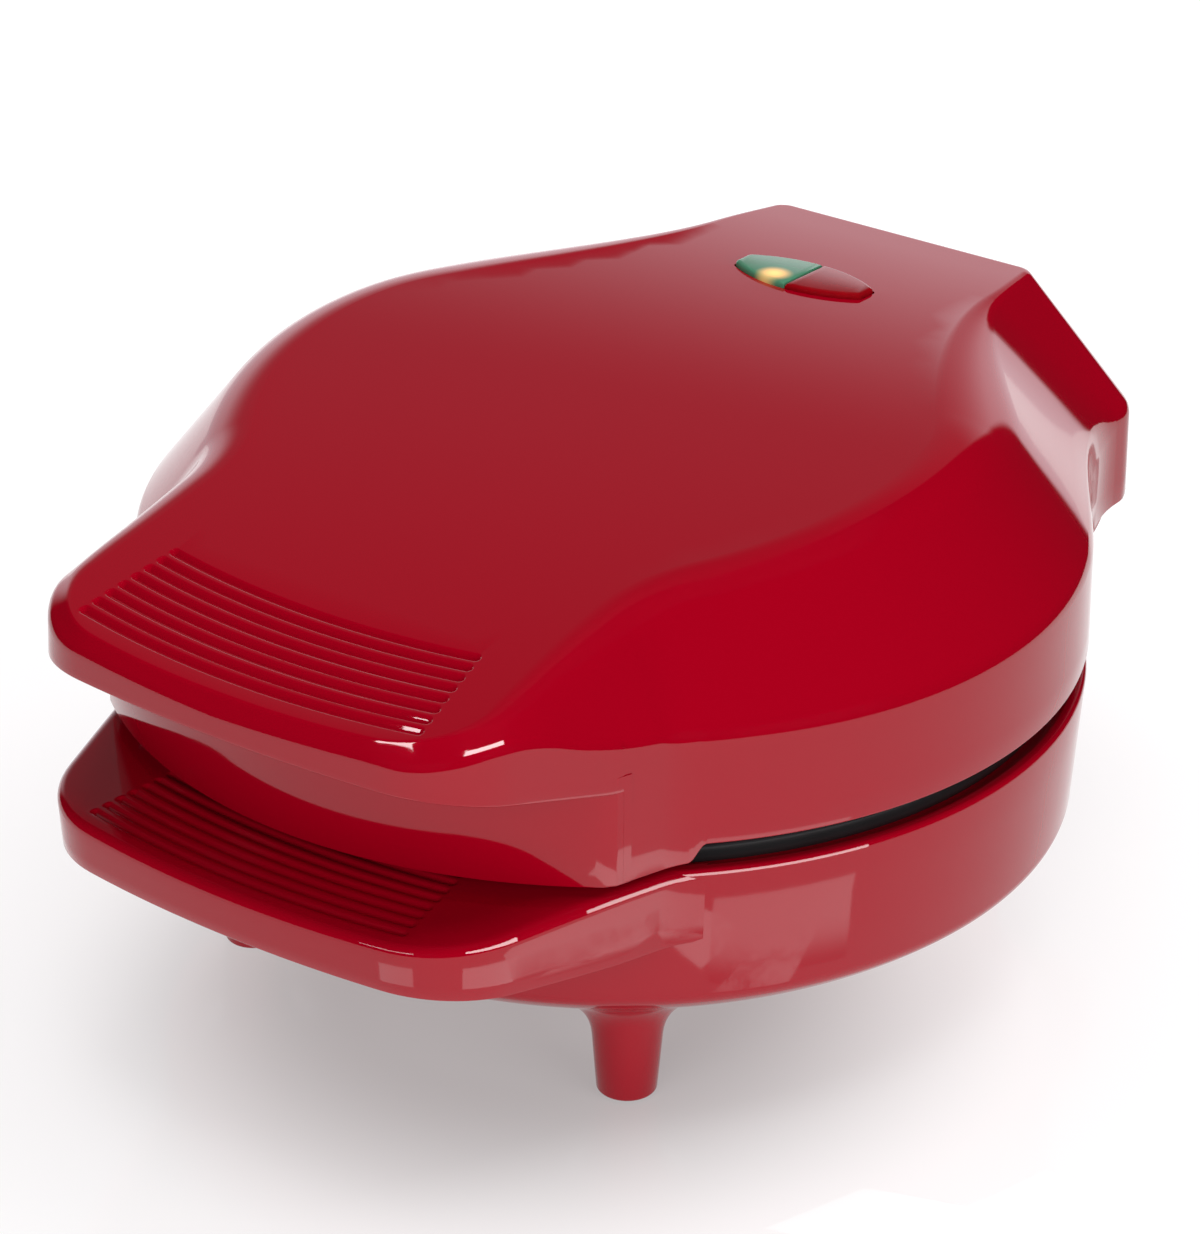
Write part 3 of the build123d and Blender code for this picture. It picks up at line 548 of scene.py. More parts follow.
# places of the lid's sections, closer together where its lower edge steps
def lidStations():
    cut = placeAtY(lid["cutY"])
    places = [u for u in placesAlong(plan["stations"]) if abs(u - cut) > 0.01] + [cut - 0.0004, cut + 0.0004]
    for name, count in (("step", 5), ("hood", 3)):
        places += spread(*[placeAtY(y) for y in stepEnds(name)], count)
    return sorted(places)


# points of the lid's section at u: bottom edge, wall, rounded shoulder, slope and deck edge, then the inside
def lidProfile(u):
    low = planPoint(u)[0]
    high, deckOut = planPoint(u, deckCurve)
    high = high + deckOut * fromTable(lid["deckShift"], u)
    bottom = lidBottom(low.y) if u > 1 else lidBottom(min(low.y, -98.0))
    back = smoothStep(7.0, 8.0, u)
    wallRound = lid["edgeRound"] + (lid["lipRound"] - lid["edgeRound"]) * back
    thick = lid["wall"] + (lid["lipWall"] - lid["wall"]) * back

    # where the slope of the plan outlines meets the arch
    f = 0.8
    for _ in range(30):
        y = low.y + (high.y - low.y) * f
        f = (archZ(y) - lid["wallTop"]) / (lid["crest"] - lid["wallTop"])
    edge = Vector((low.x + (high.x - low.x) * f, low.y + (high.y - low.y) * f, 0))
    edge.z = archZ(edge.y)
    wallTop = fromTable(lid["wallTops"], u)
    steep = -(edge.y - lid["archY"]) / math.sqrt(lid["archRadius"] ** 2 - (edge.y - lid["archY"]) ** 2)
    inward = Vector((-deckOut.x, -deckOut.y, -deckOut.y * steep))
    neck = smoothStep(lid["fillFrom"], 5.0, u) * (1 - smoothStep(5.5, 6.4, u))
    fillet = lid["wallFillet"] + (lid["gripFillet"] - lid["wallFillet"]) * (1 - smoothStep(2.2, 3.6, u))
    fillet += (lid["neckFillet"] - fillet) * neck
    points = [insetPoint(u, thick, bottom), insetPoint(u, wallRound, bottom)]
    for a in [math.radians(angle) for angle in (30, 60, 90)]:
        points.append(insetPoint(u, wallRound * (1 - math.sin(a)), bottom + wallRound * (1 - math.cos(a))))
    top = insetPoint(u, lid["wallLean"], wallTop)
    shoulder = roundedCorner(insetPoint(u, 0, bottom + wallRound), top, edge, fillet, 8)
    deckFillet = fromTable(lid["deckFillets"], u)
    deckRound = roundedCorner(shoulder[-1], edge, edge + inward * 40, deckFillet, 9, 0.9)
    points += [points[4].lerp(shoulder[0], f) for f in (0.25, 0.5, 0.75)] + shoulder
    points += [shoulder[-1].lerp(deckRound[0], f) for f in (0.2, 0.4, 0.6, 0.8)] + deckRound
    last = deckRound[-1] + inward * 0.15
    points.append(Vector((last.x, last.y, archZ(last.y))))
    lipTop = max(lid["lipTop"], bottom + 1.0)
    deckIn = edge + Vector((-deckOut.x, -deckOut.y, 0)) * lid["deckIn"]
    inside = [insetPoint(u, inset, z) for inset, z in (
        (thick, bottom), (thick, lipTop), (lid["wall"], lipTop + 0.01),
        (lid["wall"], max(wallTop - 2.0, lipTop + 0.6)))]
    return points, inside + [Vector((deckIn.x, deckIn.y, archZ(deckIn.y, lid["wall"])))]


# a Geometry Nodes tree with named inputs, sorted by kind, and one geometry output
def newTree(name, inputs):
    tree = bpy.data.node_groups.new(name, "GeometryNodeTree")
    tree.interface.new_socket("Geometry", in_out="OUTPUT", socket_type="NodeSocketGeometry")
    for kind, labels in inputs.items():
        for label in labels:
            tree.interface.new_socket(label, in_out="INPUT", socket_type="NodeSocket" + kind)
    given = tree.nodes.new("NodeGroupInput").outputs
    return tree, {socket.name: treeNumber(socket) for socket in given if socket.name}


# ends a tree: instances are made real and the material is set
def endTree(tree, given, geometry):
    real = fromNode(tree, "GeometryNodeRealizeInstances", {"Geometry": geometry})
    painted = fromNode(tree, "GeometryNodeSetMaterial", {"Geometry": real, "Material": given["Material"]})
    addNode(tree, "NodeGroupOutput", {0: painted})
    return tree


def meshGrid(tree, size, columns, rows):
    return fromNode(tree, "GeometryNodeMeshGrid", {
        "Size X": size, "Size Y": size, "Vertices X": columns, "Vertices Y": rows})


def pointXY(tree):
    return splitXYZ(tree, fromNode(tree, "GeometryNodeInputPosition"))[:2]


def instanceOn(tree, points, instance):
    return fromNode(tree, "GeometryNodeInstanceOnPoints", {"Points": points, "Instance": instance})


def movePoints(tree, geometry, x, y, z=0.0):
    place = fromNode(tree, "ShaderNodeCombineXYZ", {"X": x, "Y": y, "Z": z})
    return fromNode(tree, "GeometryNodeSetPosition", {"Geometry": geometry, "Position": place})


# evaluates a tree with these input values and returns its plain mesh
def runTree(tree, values, name):
    holder = addObject(name, bpy.data.meshes.new(name))
    modifier = holder.modifiers.new("build", "NODES")
    modifier.node_group = tree
    for item in tree.interface.items_tree:
        if item.in_out == "INPUT" and item.name in values:
            modifier[item.identifier] = values[item.name]
    bpy.context.view_layer.update()
    mesh = bpy.data.meshes.new_from_object(holder.evaluated_get(bpy.context.evaluated_depsgraph_get()))
    holder.modifiers.remove(modifier)
    bpy.data.objects.remove(holder)
    return mesh


# adds a made mesh to a skin, each point moved by place, and returns the loops round its openings
def addMesh(skin, mesh, place):
    start = len(skin["points"])
    skin["points"] += [place(*(c / mm for c in vertex.co)) for vertex in mesh.vertices]
    used = {}
    for polygon in mesh.polygons:
        skin["faces"].append(tuple(start + i for i in polygon.vertices))
        for key in polygon.edge_keys:
            used[key] = used.get(key, 0) + 1
    follow = {}
    for (a, b), count in used.items():
        if count == 1:
            follow.setdefault(a, []).append(b)
            follow.setdefault(b, []).append(a)
    loops = []
    while follow:
        loop = [next(iter(follow))]
        while True:
            ways = [v for v in follow.pop(loop[-1]) if v in follow]
            if not ways:
                break
            loop.append(ways[0])
        loops.append([start + i for i in loop])
    bpy.data.meshes.remove(mesh)
    return loops


# finger grooves, made by a node tree that can be set for either grip
grooves = {"lengths": {"Pitch": 3.6, "Width": 2.9, "Centre Y": 131.5, "Side Margin": 1.7},
           "counts": {"Count": 8.0, "Columns": 150, "Rows": 84}}


def grooveTree():
    tree, given = newTree("fingerGrooves", {
        "Float": ("Count", "Width", "Depth", "Centre Y", "Side Margin", "Pitch", "First Radius",
                  "Half Angle"), "Int": ("Columns", "Rows"), "Material": ("Material",)})
    pitch, first, half = (given[label] for label in ("Pitch", "First Radius", "Half Angle"))
    last = given["Count"] - 1.0
    pad = meshGrid(tree, 1.0, given["Columns"], given["Rows"])
    gridX, gridY = pointXY(tree)
    angle = (half + given["Side Margin"] / first) * (gridX * math.pi).calc("SINE")
    margin = pitch * 0.43
    radius = first + margin - (pitch * last + margin * 2.0) * (gridY + 0.5)
    row = ((first - radius) / pitch).calc("ROUND").calc("MAXIMUM", 0.0).calc("MINIMUM", last)
    across = radius - (first - row * pitch)
    along = (angle.calc("ABSOLUTE") - half).calc("MAXIMUM", 0.0) * radius
    away = (across * across + along * along).calc("SQRT")
    part = (away / (given["Width"] * 0.5)).calc("MINIMUM", 1.0)
    wave = ((part * math.pi).calc("COSINE") + 1.0) * -0.5
    moved = movePoints(tree, pad, radius * angle.calc("SINE"),
                       given["Centre Y"] - radius * angle.calc("COSINE"), wave * given["Depth"])
    return endTree(tree, given, moved)


grooveMaker = grooveTree()


# adds a pad of grooves that lies on a surface, and returns its border as a loop
def addGrooves(skin, sizes, height):
    lengths = {**grooves["lengths"], "First Radius": sizes["firstGroove"], "Depth": sizes["grooveDepth"]}
    values = {label: value * mm for label, value in lengths.items()}
    values.update(grooves["counts"])
    values.update({"Half Angle": math.radians(sizes["grooveAngle"]), "Material": materials["redPlastic"]})
    mesh = runTree(grooveMaker, values, "groovePad")
    return addMesh(skin, mesh, lambda x, y, z: (x, y, height(x, y) + z))[0]


# lens window
lens = {"halfLength": 18.3, "halfWidth": 8.6, "endHalfWidth": 3.0, "y": 78.0, "proud": 1.4, "gap": 0.25,
        "round": 1.1, "endRound": 1.6, "below": 4.0, "arcSteps": 26}


# right half of the eye-shaped window, from the middle of its front to the middle of its back
def lensHalf(outset=0.0):
    end, middle, blunt = (lens[key] + outset for key in ("halfLength", "halfWidth", "endHalfWidth"))
    rise = middle - blunt
    radius = (end**2 + rise**2) / (2 * rise)
    sweep = math.asin(end / radius)
    arc = [(radius * math.sin(a), middle - radius + radius * math.cos(a), 0.0)
           for a in spread(0, sweep, lens["arcSteps"])[:-1]]
    corner = roundedCorner(arc[-4], (end, blunt, 0.0), (end, 0.0, 0.0), lens["endRound"], 5)
    arc = arc[:-3] + [tuple(p) for p in corner]
    return [(x, lens["y"] - y) for x, y, _ in arc] + [(x, lens["y"] + y) for x, y, _ in reversed(arc)]


# smooth run of sections between the body and the hinge hood, tangent to both
def fillNeck(places, profiles):
    inside = [i for i, u in enumerate(places) if lid["fillFrom"] < u < lid["fillTo"]]
    start, end = inside[0] - 1, inside[-1] + 1
    runs = [0.0]
    for i in range(start, end):
        runs.append(runs[-1] + (profiles[i + 1][0][4] - profiles[i][0][4]).length)
    before, first, last, after = (profiles[i][0] for i in (start - 2, start, end, end + 2))
    bend = lid["neckBend"] * runs[-1]
    for i, run in zip(inside, runs[1:]):
        points = profiles[i][0]
        for k in range(1, len(points)):
            leave = (first[k] - before[k]).normalized() * bend
            arrive = (after[k] - last[k]).normalized() * bend
            moved = hermite(run / runs[-1], first[k], leave, last[k], arrive)
            points[k] = Vector((moved.x, moved.y, moved.z if k > 4 else points[k].z))
        points[-1].z = archZ(points[-1].y)


throat = {"middleY": -122.4, "radius": 118.9, "cornerY": -97.5, "cornerRun": 3.5, "thick": 2.8,
          "edgeRound": 1.3, "steps": 40, "rootZ": 98.0, "slope": 0.8, "clear": 1.4}


# bowed wall that closes the lid under its grip
def addThroat(skin):
    centreY = throat["middleY"] + throat["radius"]
    corner = insetPoint(placeAtY(throat["cornerY"]), 0.03, 0.0)
    behind = placeAtY(throat["cornerY"] + throat["cornerRun"])
    flush, deep = insetPoint(behind, 0.03, 0.0), insetPoint(behind, 1.8, 0.0)
    reach = math.asin(corner.x / throat["radius"])
    front = [(throat["radius"] * math.sin(a), centreY - throat["radius"] * math.cos(a), 0.0)
             for a in spread(0, reach * 0.97, throat["steps"])]
    front += [tuple(p) for p in roundedCorner(front[-1], corner, flush, throat["edgeRound"], 6)]
    front += [tuple(flush), tuple(deep)]
    back = [(x, y + throat["thick"]) for x, y, _ in front[throat["steps"] - 1::-1]]
    low = lid["edge"] - lid["throatDrop"]

    def top(x, y):
        room = max(planPoint(placeAtY(min(y, -97.0)))[0].x - abs(x) - 3.0, 0)
        return min(archZ(y) - throat["clear"], throat["rootZ"] + room * throat["slope"])

    steps = [(0.35, low), (0.1, low + 0.1), (0, low + 0.4), (0, 84.0), (0, 96.0), (0, top)]
    prism(skin, mirrored([p[:2] for p in front] + back), steps)


# ledges that hold the plates, with their screw bosses, and the bosses over the lamps
ledge = {"from": 107.9, "to": -95.0, "steps": 89, "sink": 1.4, "frontHalf": 69.0, "frontSteps": 28,
         "hole": 98.0, "lidHeights": (78.0, 80.5), "baseRadius": 110.4, "baseHeights": (65.8, 68.3),
         "bossCircle": 101.0, "bossRadius": 3.9, "bossBore": 1.75,
         "lidBoss": [(0, 79.0), (0, 87.0), (0.5, 87.5)], "baseBoss": [(0.5, 58.8), (0, 59.3), (0, 66.0)],
         "lampX": 24, "lampY": 78.0, "lampRadius": 3.6, "lampBore": 1.2,
         "lampSteps": [(0, 121.8), (0, 133.0)]}


def fourRound(radius):
    return [polar(radius, math.radians(angle)) for angle in (45, 135, 225, 315)]


def pillar(skin, x, y, radius, bore, steps, sides):
    prism(skin, circle(x, y, radius, sides[0]), steps, [circle(x, y, bore, sides[1])])


# ledge round a plate's opening, with its screw bosses
def addLedge(skin, loop, heights, boss):
    prism(skin, loop, [(0, z) for z in heights], [circle(0, 0, ledge["hole"], 160)])
    for x, y in fourRound(ledge["bossCircle"]):
        pillar(skin, x, y, ledge["bossRadius"], ledge["bossBore"], boss, (32, 24))


def addLidLedge(skin):
    side = [insetPoint(placeAtY(y), ledge["sink"], 0.0).xy
            for y in spread(ledge["from"], ledge["to"], ledge["steps"])]
    centreY = throat["middleY"] + throat["radius"] + ledge["sink"]
    side += [(x, centreY - math.sqrt(throat["radius"] ** 2 - x * x))
             for x in reversed(spread(0, ledge["frontHalf"], ledge["frontSteps"]))]
    addLedge(skin, side + [(-x, y) for x, y in side[-2::-1]], ledge["lidHeights"], ledge["lidBoss"])
    for x in (-ledge["lampX"], ledge["lampX"]):
        pillar(skin, x, ledge["lampY"], ledge["lampRadius"], ledge["lampBore"], ledge["lampSteps"], (32, 16))


# hinge: profiles are radius and distance along the axis, and the neck's section is y and z
hinge = {"y": 122.0, "z": 75.0, "pivotFrom": 50.2,
         "pivot": [(3.05, 7.9), (3.05, 0), (6.4, 0), (7.0, 0.6), (7.0, 7.9), (3.05, 7.9)],
         "barrel": [(3.0, 34.0), (3.0, 49.7), (7.5, 49.7), (7.5, 56.6), (7.9, 57.0), (12.6, 57.0),
                    (13.2, 56.7), (13.5, 56.1), (13.5, 40.0), (13.5, 20.0), (13.5, 0.0)],
         "neck": [(106.0, 62.5), (118.5, 62.5), (121.0, 63.5), (122.0, 66.0), (122.0, 76.0), (110.6, 69.2),
                  (110.2, 68.6), (106.0, 66.0)],
         "neckX": (-50.0, -49.6, 0.0, 49.6, 50.0)}


# places a turned profile round the hinge's axis, from x0 towards one side
def alongX(side, x0):
    return lambda r, h, a: (side * (x0 + h), hinge["y"] + r * math.cos(a), hinge["z"] + r * math.sin(a))


def buildLid():
    skin = newSkin()
    places = lidStations()
    profiles = [lidProfile(u) for u in places]
    fillNeck(places, profiles)
    outer, inner = ([addRing(skin, mirrored([tuple(p[part][k]) for p in profiles]))
                     for k in range(len(profiles[0][part]))] for part in (0, 1))
    bridgeAll(skin, outer)
    bridgeAll(skin, inner)
    window = mirrored(lensHalf(lid["windowGap"]))
    windowTop, windowLow = (addRing(skin, [(x, y, surface(x, y)) for x, y in window])
                            for surface in (archOver, archUnder))
    bridge(skin, windowTop, windowLow)
    pad = addGrooves(skin, lid, archOver)
    fillCap(skin, outer[-1], [windowTop, pad], archOver, 6.0)
    fillCap(skin, inner[-1], [windowLow], archUnder, 12.0)
    addThroat(skin)
    addLidLedge(skin)
    for side in (-1, 1):
        lathe(skin, hinge["pivot"], 48, alongX(side, hinge["pivotFrom"]))
    makePiece("lidShell", skin, "redPlastic", "lid", "lid_shell", 34.0)


buildLid()

# base: the dish's runs are radius, first and last slope in degrees, and steps
base = {"rim": 69.5, "dish": 25.0, "bottomRadius": 109.2, "topRadius": 112.0, "dishFillet": 14.5,
        "dishRuns": [(20.0, 0.0, 14.0, 6), (34.0, 14.0, 44.0, 12), (5.0, 44.0, 90.0, 8)], "rimRound": 2.7,
        "wall": 2.8, "segments": 288, "gripDrop": 2.2, "gripLow": 51.0, "gripLowFront": 55.5,
        "gripRound": 2.6, "draft": 0.0629, "joinRadius": 108.7, "firstGroove": 269.4, "grooveDepth": 0.6,
        "grooveAngle": 9.2}


# underside from its flat middle out to the wall: a long easy curve, then a tighter one
def dishLine():
    draft = math.atan2(base["topRadius"] - base["bottomRadius"], base["rim"] - base["dish"])
    points = [Vector((0, 0, base["dish"]))]
    for radius, start, end, steps in base["dishRuns"]:
        origin, a = points[-1], math.radians(start)
        for angle in spread(start, min(end, 90.0 - math.degrees(draft)), steps)[1:]:
            b = math.radians(angle)
            points.append(origin + Vector((radius * (math.sin(b) - math.sin(a)), 0,
                                           radius * (math.cos(a) - math.cos(b)))))
    top = points[-1]
    wallX = base["bottomRadius"] + (top.z - base["dish"]) * math.tan(draft)
    return [p + Vector((wallX - top.x, 0, 0)) for p in points]


dishCurve = dishLine()


def addBowl(skin):
    innerTop, innerLow = base["topRadius"] - base["wall"], base["bottomRadius"] - base["wall"]
    floorZ, rimZ = base["dish"] + base["wall"], base["rim"]
    wallFrom = dishCurve[-1]
    rim = roundedCorner(wallFrom, (base["topRadius"], 0, rimZ), (innerTop, 0, rimZ), base["rimRound"], 8)
    inside = roundedCorner((0, 0, floorZ), (innerLow, 0, floorZ), (innerTop, 0, rimZ),
                           base["dishFillet"] - base["wall"], 10)
    outer = dishCurve + [wallFrom.lerp(rim[0], f) for f in (0.33, 0.66)] + rim
    profile = [(r, base["dish"]) for r in (0, 30.0, 60.0, 85.0)] + [(p.x, p.z) for p in outer]
    profile += [(innerTop + 0.15, rimZ - 0.02), (innerTop, rimZ - 0.25)]
    profile += [(p.x, p.z) for p in reversed(inside)] + [(0, floorZ)]
    lathe(skin, profile, base["segments"])


def gripTop(y):
    return base["rim"] - base["gripDrop"] * share(0, 51.5, -92.0 - y) ** 1.35


def gripOver(x, y):
    return gripTop(y)


def gripLow(y):
    return base["gripLow"] + (base["gripLowFront"] - base["gripLow"]) * share(0, 48.5, -95.0 - y) ** 1.2


# flared grip in front, hollow underneath, that runs into the round wall
def addBaseGrip(skin):
    sections = []
    for u in placesAlong((16, 14, 16, 16)):
        p, out = planPoint(u)
        sink = 0.03 * smoothStep(3.5, 4.0, u)
        thick = base["wall"] - 0.6 * smoothStep(3.3, 4.0, u)
        top, low = gripTop(p.y) - sink, gripLow(p.y)
        drift = (top - low) * base["draft"]
        foot = insetPoint(u, drift + sink, low)
        rim = roundedCorner(foot, insetPoint(u, sink, top), insetPoint(u, 12.0, top), base["gripRound"], 7)
        points = [insetPoint(u, inset, z) for inset, z in (
            (thick, top - base["wall"]), (drift + thick, low + 0.4), (drift + thick - 0.4, low),
            (drift + sink + 0.7, low), (drift + sink + 0.2, low + 0.2))]
        points += [foot.lerp(rim[0], f) for f in (0.06, 0.35, 0.68)] + rim
        inner = rim[-1] - Vector((out.x, out.y, 0)) * 0.5
        points.append(Vector((inner.x, inner.y, gripTop(inner.y) - sink)))
        sections.append([tuple(q) for q in points])
    rings = []
    for half in zip(*sections):
        rings.append(addRing(skin, [(-x, y, z) for x, y, z in half[:0:-1]] + list(half)))
    bridgeAll(skin, rings, False)
    endAngle = math.atan2(sections[-1][-1][1], sections[-1][-1][0])
    join = [polar(base["joinRadius"], a) for a in spread(endAngle, -math.pi - endAngle, 60)]
    joinTop = addRing(skin, [(x, y, gripTop(y) - 0.03) for x, y in join])
    joinLow = addRing(skin, [(x, y, base["rim"] - base["wall"]) for x, y in join])
    bridge(skin, joinTop, joinLow, False)
    for end, joinEnd in ((-1, 0), (0, -1)):
        skin["faces"].append(tuple([ring[end] for ring in rings] + [joinTop[joinEnd], joinLow[joinEnd]]))
    pad = addGrooves(skin, base, gripOver)
    fillCap(skin, rings[-1] + joinTop, [pad], gripOver, 6.0)
    fillCap(skin, rings[0] + joinLow, [], lambda x, y: gripTop(y) - base["wall"], 12.0)


feet = {"x": 55.0, "frontY": -69.5, "backY": 77.0, "low": 0.5, "radius": 6.9, "topRadius": 9.5, "topZ": 33.0,
        "edgeRound": 1.6, "flare": 11.0, "pull": 0.62, "padRadius": 5.0, "recess": 1.0, "segments": 72}


# height of the dish's underside at a distance from its axis
def dishZ(radius):
    for first, last in zip(dishCurve, dishCurve[1:]):
        if first.x <= radius <= last.x:
            return first.z + (last.z - first.z) * (radius - first.x) / (last.x - first.x)
    return base["dish"] if radius < dishCurve[0].x else dishCurve[-1].z


# one side of a foot at the turn a: pad recess, cone, and a flare that runs out along the dish
def footProfile(footX, footY, a):
    def under(t):
        return dishZ(math.hypot(footX + t * math.cos(a), footY + t * math.sin(a)))

    grow = (feet["topRadius"] - feet["radius"]) / (feet["topZ"] - feet["low"])
    t = feet["topRadius"]
    for _ in range(20):
        t = feet["radius"] + grow * (under(t) - feet["low"])
    slope = math.atan2(under(t + 0.5) - under(t - 0.5), 1.0)
    reach = feet["flare"] / math.tan((math.pi / 2 + math.atan(grow) + slope) / 2)
    down = Vector((-grow, 0, -1)).normalized()
    start = Vector((t, 0, under(t))) + down * reach
    far = t + reach * math.cos(slope)
    endSlope = math.atan2(under(far + 0.3) - under(far - 0.3), 0.6)
    end = Vector((far, 0, under(far)))
    way = Vector((math.cos(endSlope), 0, math.sin(endSlope)))
    padTop = feet["low"] + feet["recess"]
    points = [Vector((r, 0, z)) for r, z in (
        (0.001, padTop), (feet["padRadius"], padTop), (feet["padRadius"], feet["low"]))]
    points += roundedCorner(points[-1], (feet["radius"], 0, feet["low"]), start, feet["edgeRound"], 6)
    points += [points[-1].lerp(start, 0.5), start]
    c1, c2 = start - down * reach * feet["pull"], end - way * reach * feet["pull"]
    for f in spread(0, 1, 10)[1:]:
        points.append(start * (1 - f) ** 3 + c1 * 3 * f * (1 - f) ** 2
                      + c2 * 3 * f * f * (1 - f) + end * f**3)
    deeper = far + 1.5
    points += [Vector((deeper, 0, under(deeper) + 0.6)), Vector((0.001, 0, base["dish"] + 1.5))]
    return [(footX + p.x * math.cos(a), footY + p.x * math.sin(a), p.z) for p in points]


# rings bridged in order, with a face at each end
def addCapped(skin, loops):
    rings = [addRing(skin, loop) for loop in loops]
    bridgeAll(skin, rings)
    skin["faces"] += [tuple(rings[0]), tuple(rings[-1])]


# hinge barrel with a pocket in each end, and the neck that carries it
def addBarrel(skin):
    half, deep = hinge["barrel"], hinge["barrel"][0][1]
    profile = half + [(r, -x) for r, x in half[-2::-1]]
    lathe(skin, [(0, deep)] + profile + [(0, -deep)], 96, alongX(1, 0.0))
    addCapped(skin, [[(x, y, z) for y, z in hinge["neck"]] for x in hinge["neckX"]])


def buildBase():
    skin = newSkin()
    addBowl(skin)
    addBaseGrip(skin)
    for x in (-feet["x"], feet["x"]):
        for y in (feet["frontY"], feet["backY"]):
            addCapped(skin, list(zip(*[footProfile(x, y, a) for a in wholeTurn(feet["segments"])])))
    addBarrel(skin)
    addLedge(skin, circle(0, 0, ledge["baseRadius"], 200), ledge["baseHeights"], ledge["baseBoss"])
    makePiece("baseShell", skin, "redPlastic", "base", "base_shell", 34.0)


buildBase()


# indicator lenses, one each side of the split
def buildLens(name, side, node):
    skin = newSkin()
    proud, edge, gap = lens["proud"], lens["round"], lens["gap"] / 2
    whole = lensHalf()
    half = [(x, y) for x, y in whole if x > edge + 0.4]
    loop = [(side * x, y) for x, y in [(gap, whole[0][1])] + half + [(gap, whole[-1][1])]]
    steps = [(0, lambda x, y: archZ(y) - lens["below"]), (0, lambda x, y: archZ(y) + proud - edge)]
    for a in [math.radians(angle) for angle in (18, 36, 54, 72, 90)]:
        drop = edge * (1 - math.sin(a))
        steps.append((edge * (1 - math.cos(a)), lambda x, y, drop=drop: archZ(y) + proud - drop))
    prism(skin, loop, steps)
    makePiece(name, skin, name, "lid", node, 40.0)


buildLens("greenLens", -1, "green_lens")
buildLens("redLens", 1, "red_lens")

# cooking plates: cells on a hexagonal field, made by a node tree for either face of the metal
plate = {"radius": 106.0, "back": 67.9, "face": 72.5, "tray": 71.25, "trayRadius": 92.0, "trayTop": 92.46,
         "outerRound": 0.9, "backEdge": 0.4, "lipRound": 0.8, "rootRound": 1.2, "parting": 72.75,
         "screwCircle": 101.0, "holeRadius": 2.05, "sinkRadius": 3.7, "sinkDepth": 1.65, "segments": 240}
cells = {"lengths": {"Pitch": 27.0, "Field Radius": 72.0}, "counts": {"Rows": 9, "Rings": 13, "Segments": 41},
         "hollow": {"Radius": 12.0, "Start Depth": 1.8, "Lip": 0.8},
         "bulge": {"Radius": 14.0, "Start Depth": 4.45, "Lip": 0.1}, "lipShare": 0.25, "weld": 0.00002}


def cellTree():
    tree, given = newTree("plateCells", {
        "Float": ("Pitch", "Field Radius", "Radius", "Start Depth", "Lip"),
        "Int": ("Rows", "Rings", "Segments"), "Material": ("Material",)})
    radius, deep, lip, pitch = (given[label] for label in ("Radius", "Start Depth", "Lip", "Pitch"))
    lipPart = cells["lipShare"]
    bowl = meshGrid(tree, 1.0, given["Segments"], given["Rings"])
    gridX, gridY = pointXY(tree)
    turn, run = gridX * (2 * math.pi), gridY + 0.5
    lean = (run * (1 / lipPart)).calc("MINIMUM", 1.0) * (math.pi / 2)
    first = (deep / radius).calc("ARCSINE")
    past = ((run - lipPart) / (1 - lipPart)).calc("MAXIMUM", 0.0)
    fall = first + (math.pi / 2 - first) * past
    reach = radius * fall.calc("COSINE") + lip * (1.0 - lean.calc("SINE"))
    sunk = lip * (1.0 - lean.calc("COSINE")) + (radius * fall.calc("SINE") - deep)
    bowl = movePoints(tree, bowl, reach * turn.calc("COSINE"), reach * turn.calc("SINE"), sunk * -1.0)
    cell = fromNode(tree, "GeometryNodeMergeByDistance", {"Geometry": bowl, "Distance": cells["weld"]})
    field = meshGrid(tree, given["Rows"] - 1.0, given["Rows"], given["Rows"])
    column, row = pointXY(tree)
    spread = movePoints(tree, field, (column + row * 0.5) * pitch, row * (pitch * math.sin(math.radians(60))))
    far = fromNode(tree, "ShaderNodeVectorMath", {0: fromNode(tree, "GeometryNodeInputPosition")}, "Value",
                   operation="LENGTH")
    outside = fromNode(tree, "FunctionNodeCompare", {"A": far, "B": given["Field Radius"]},
                       operation="GREATER_THAN")
    inField = fromNode(tree, "GeometryNodeDeleteGeometry", {"Geometry": spread, "Selection": outside})
    return endTree(tree, given, instanceOn(tree, inField, cell))


cellMaker = cellTree()


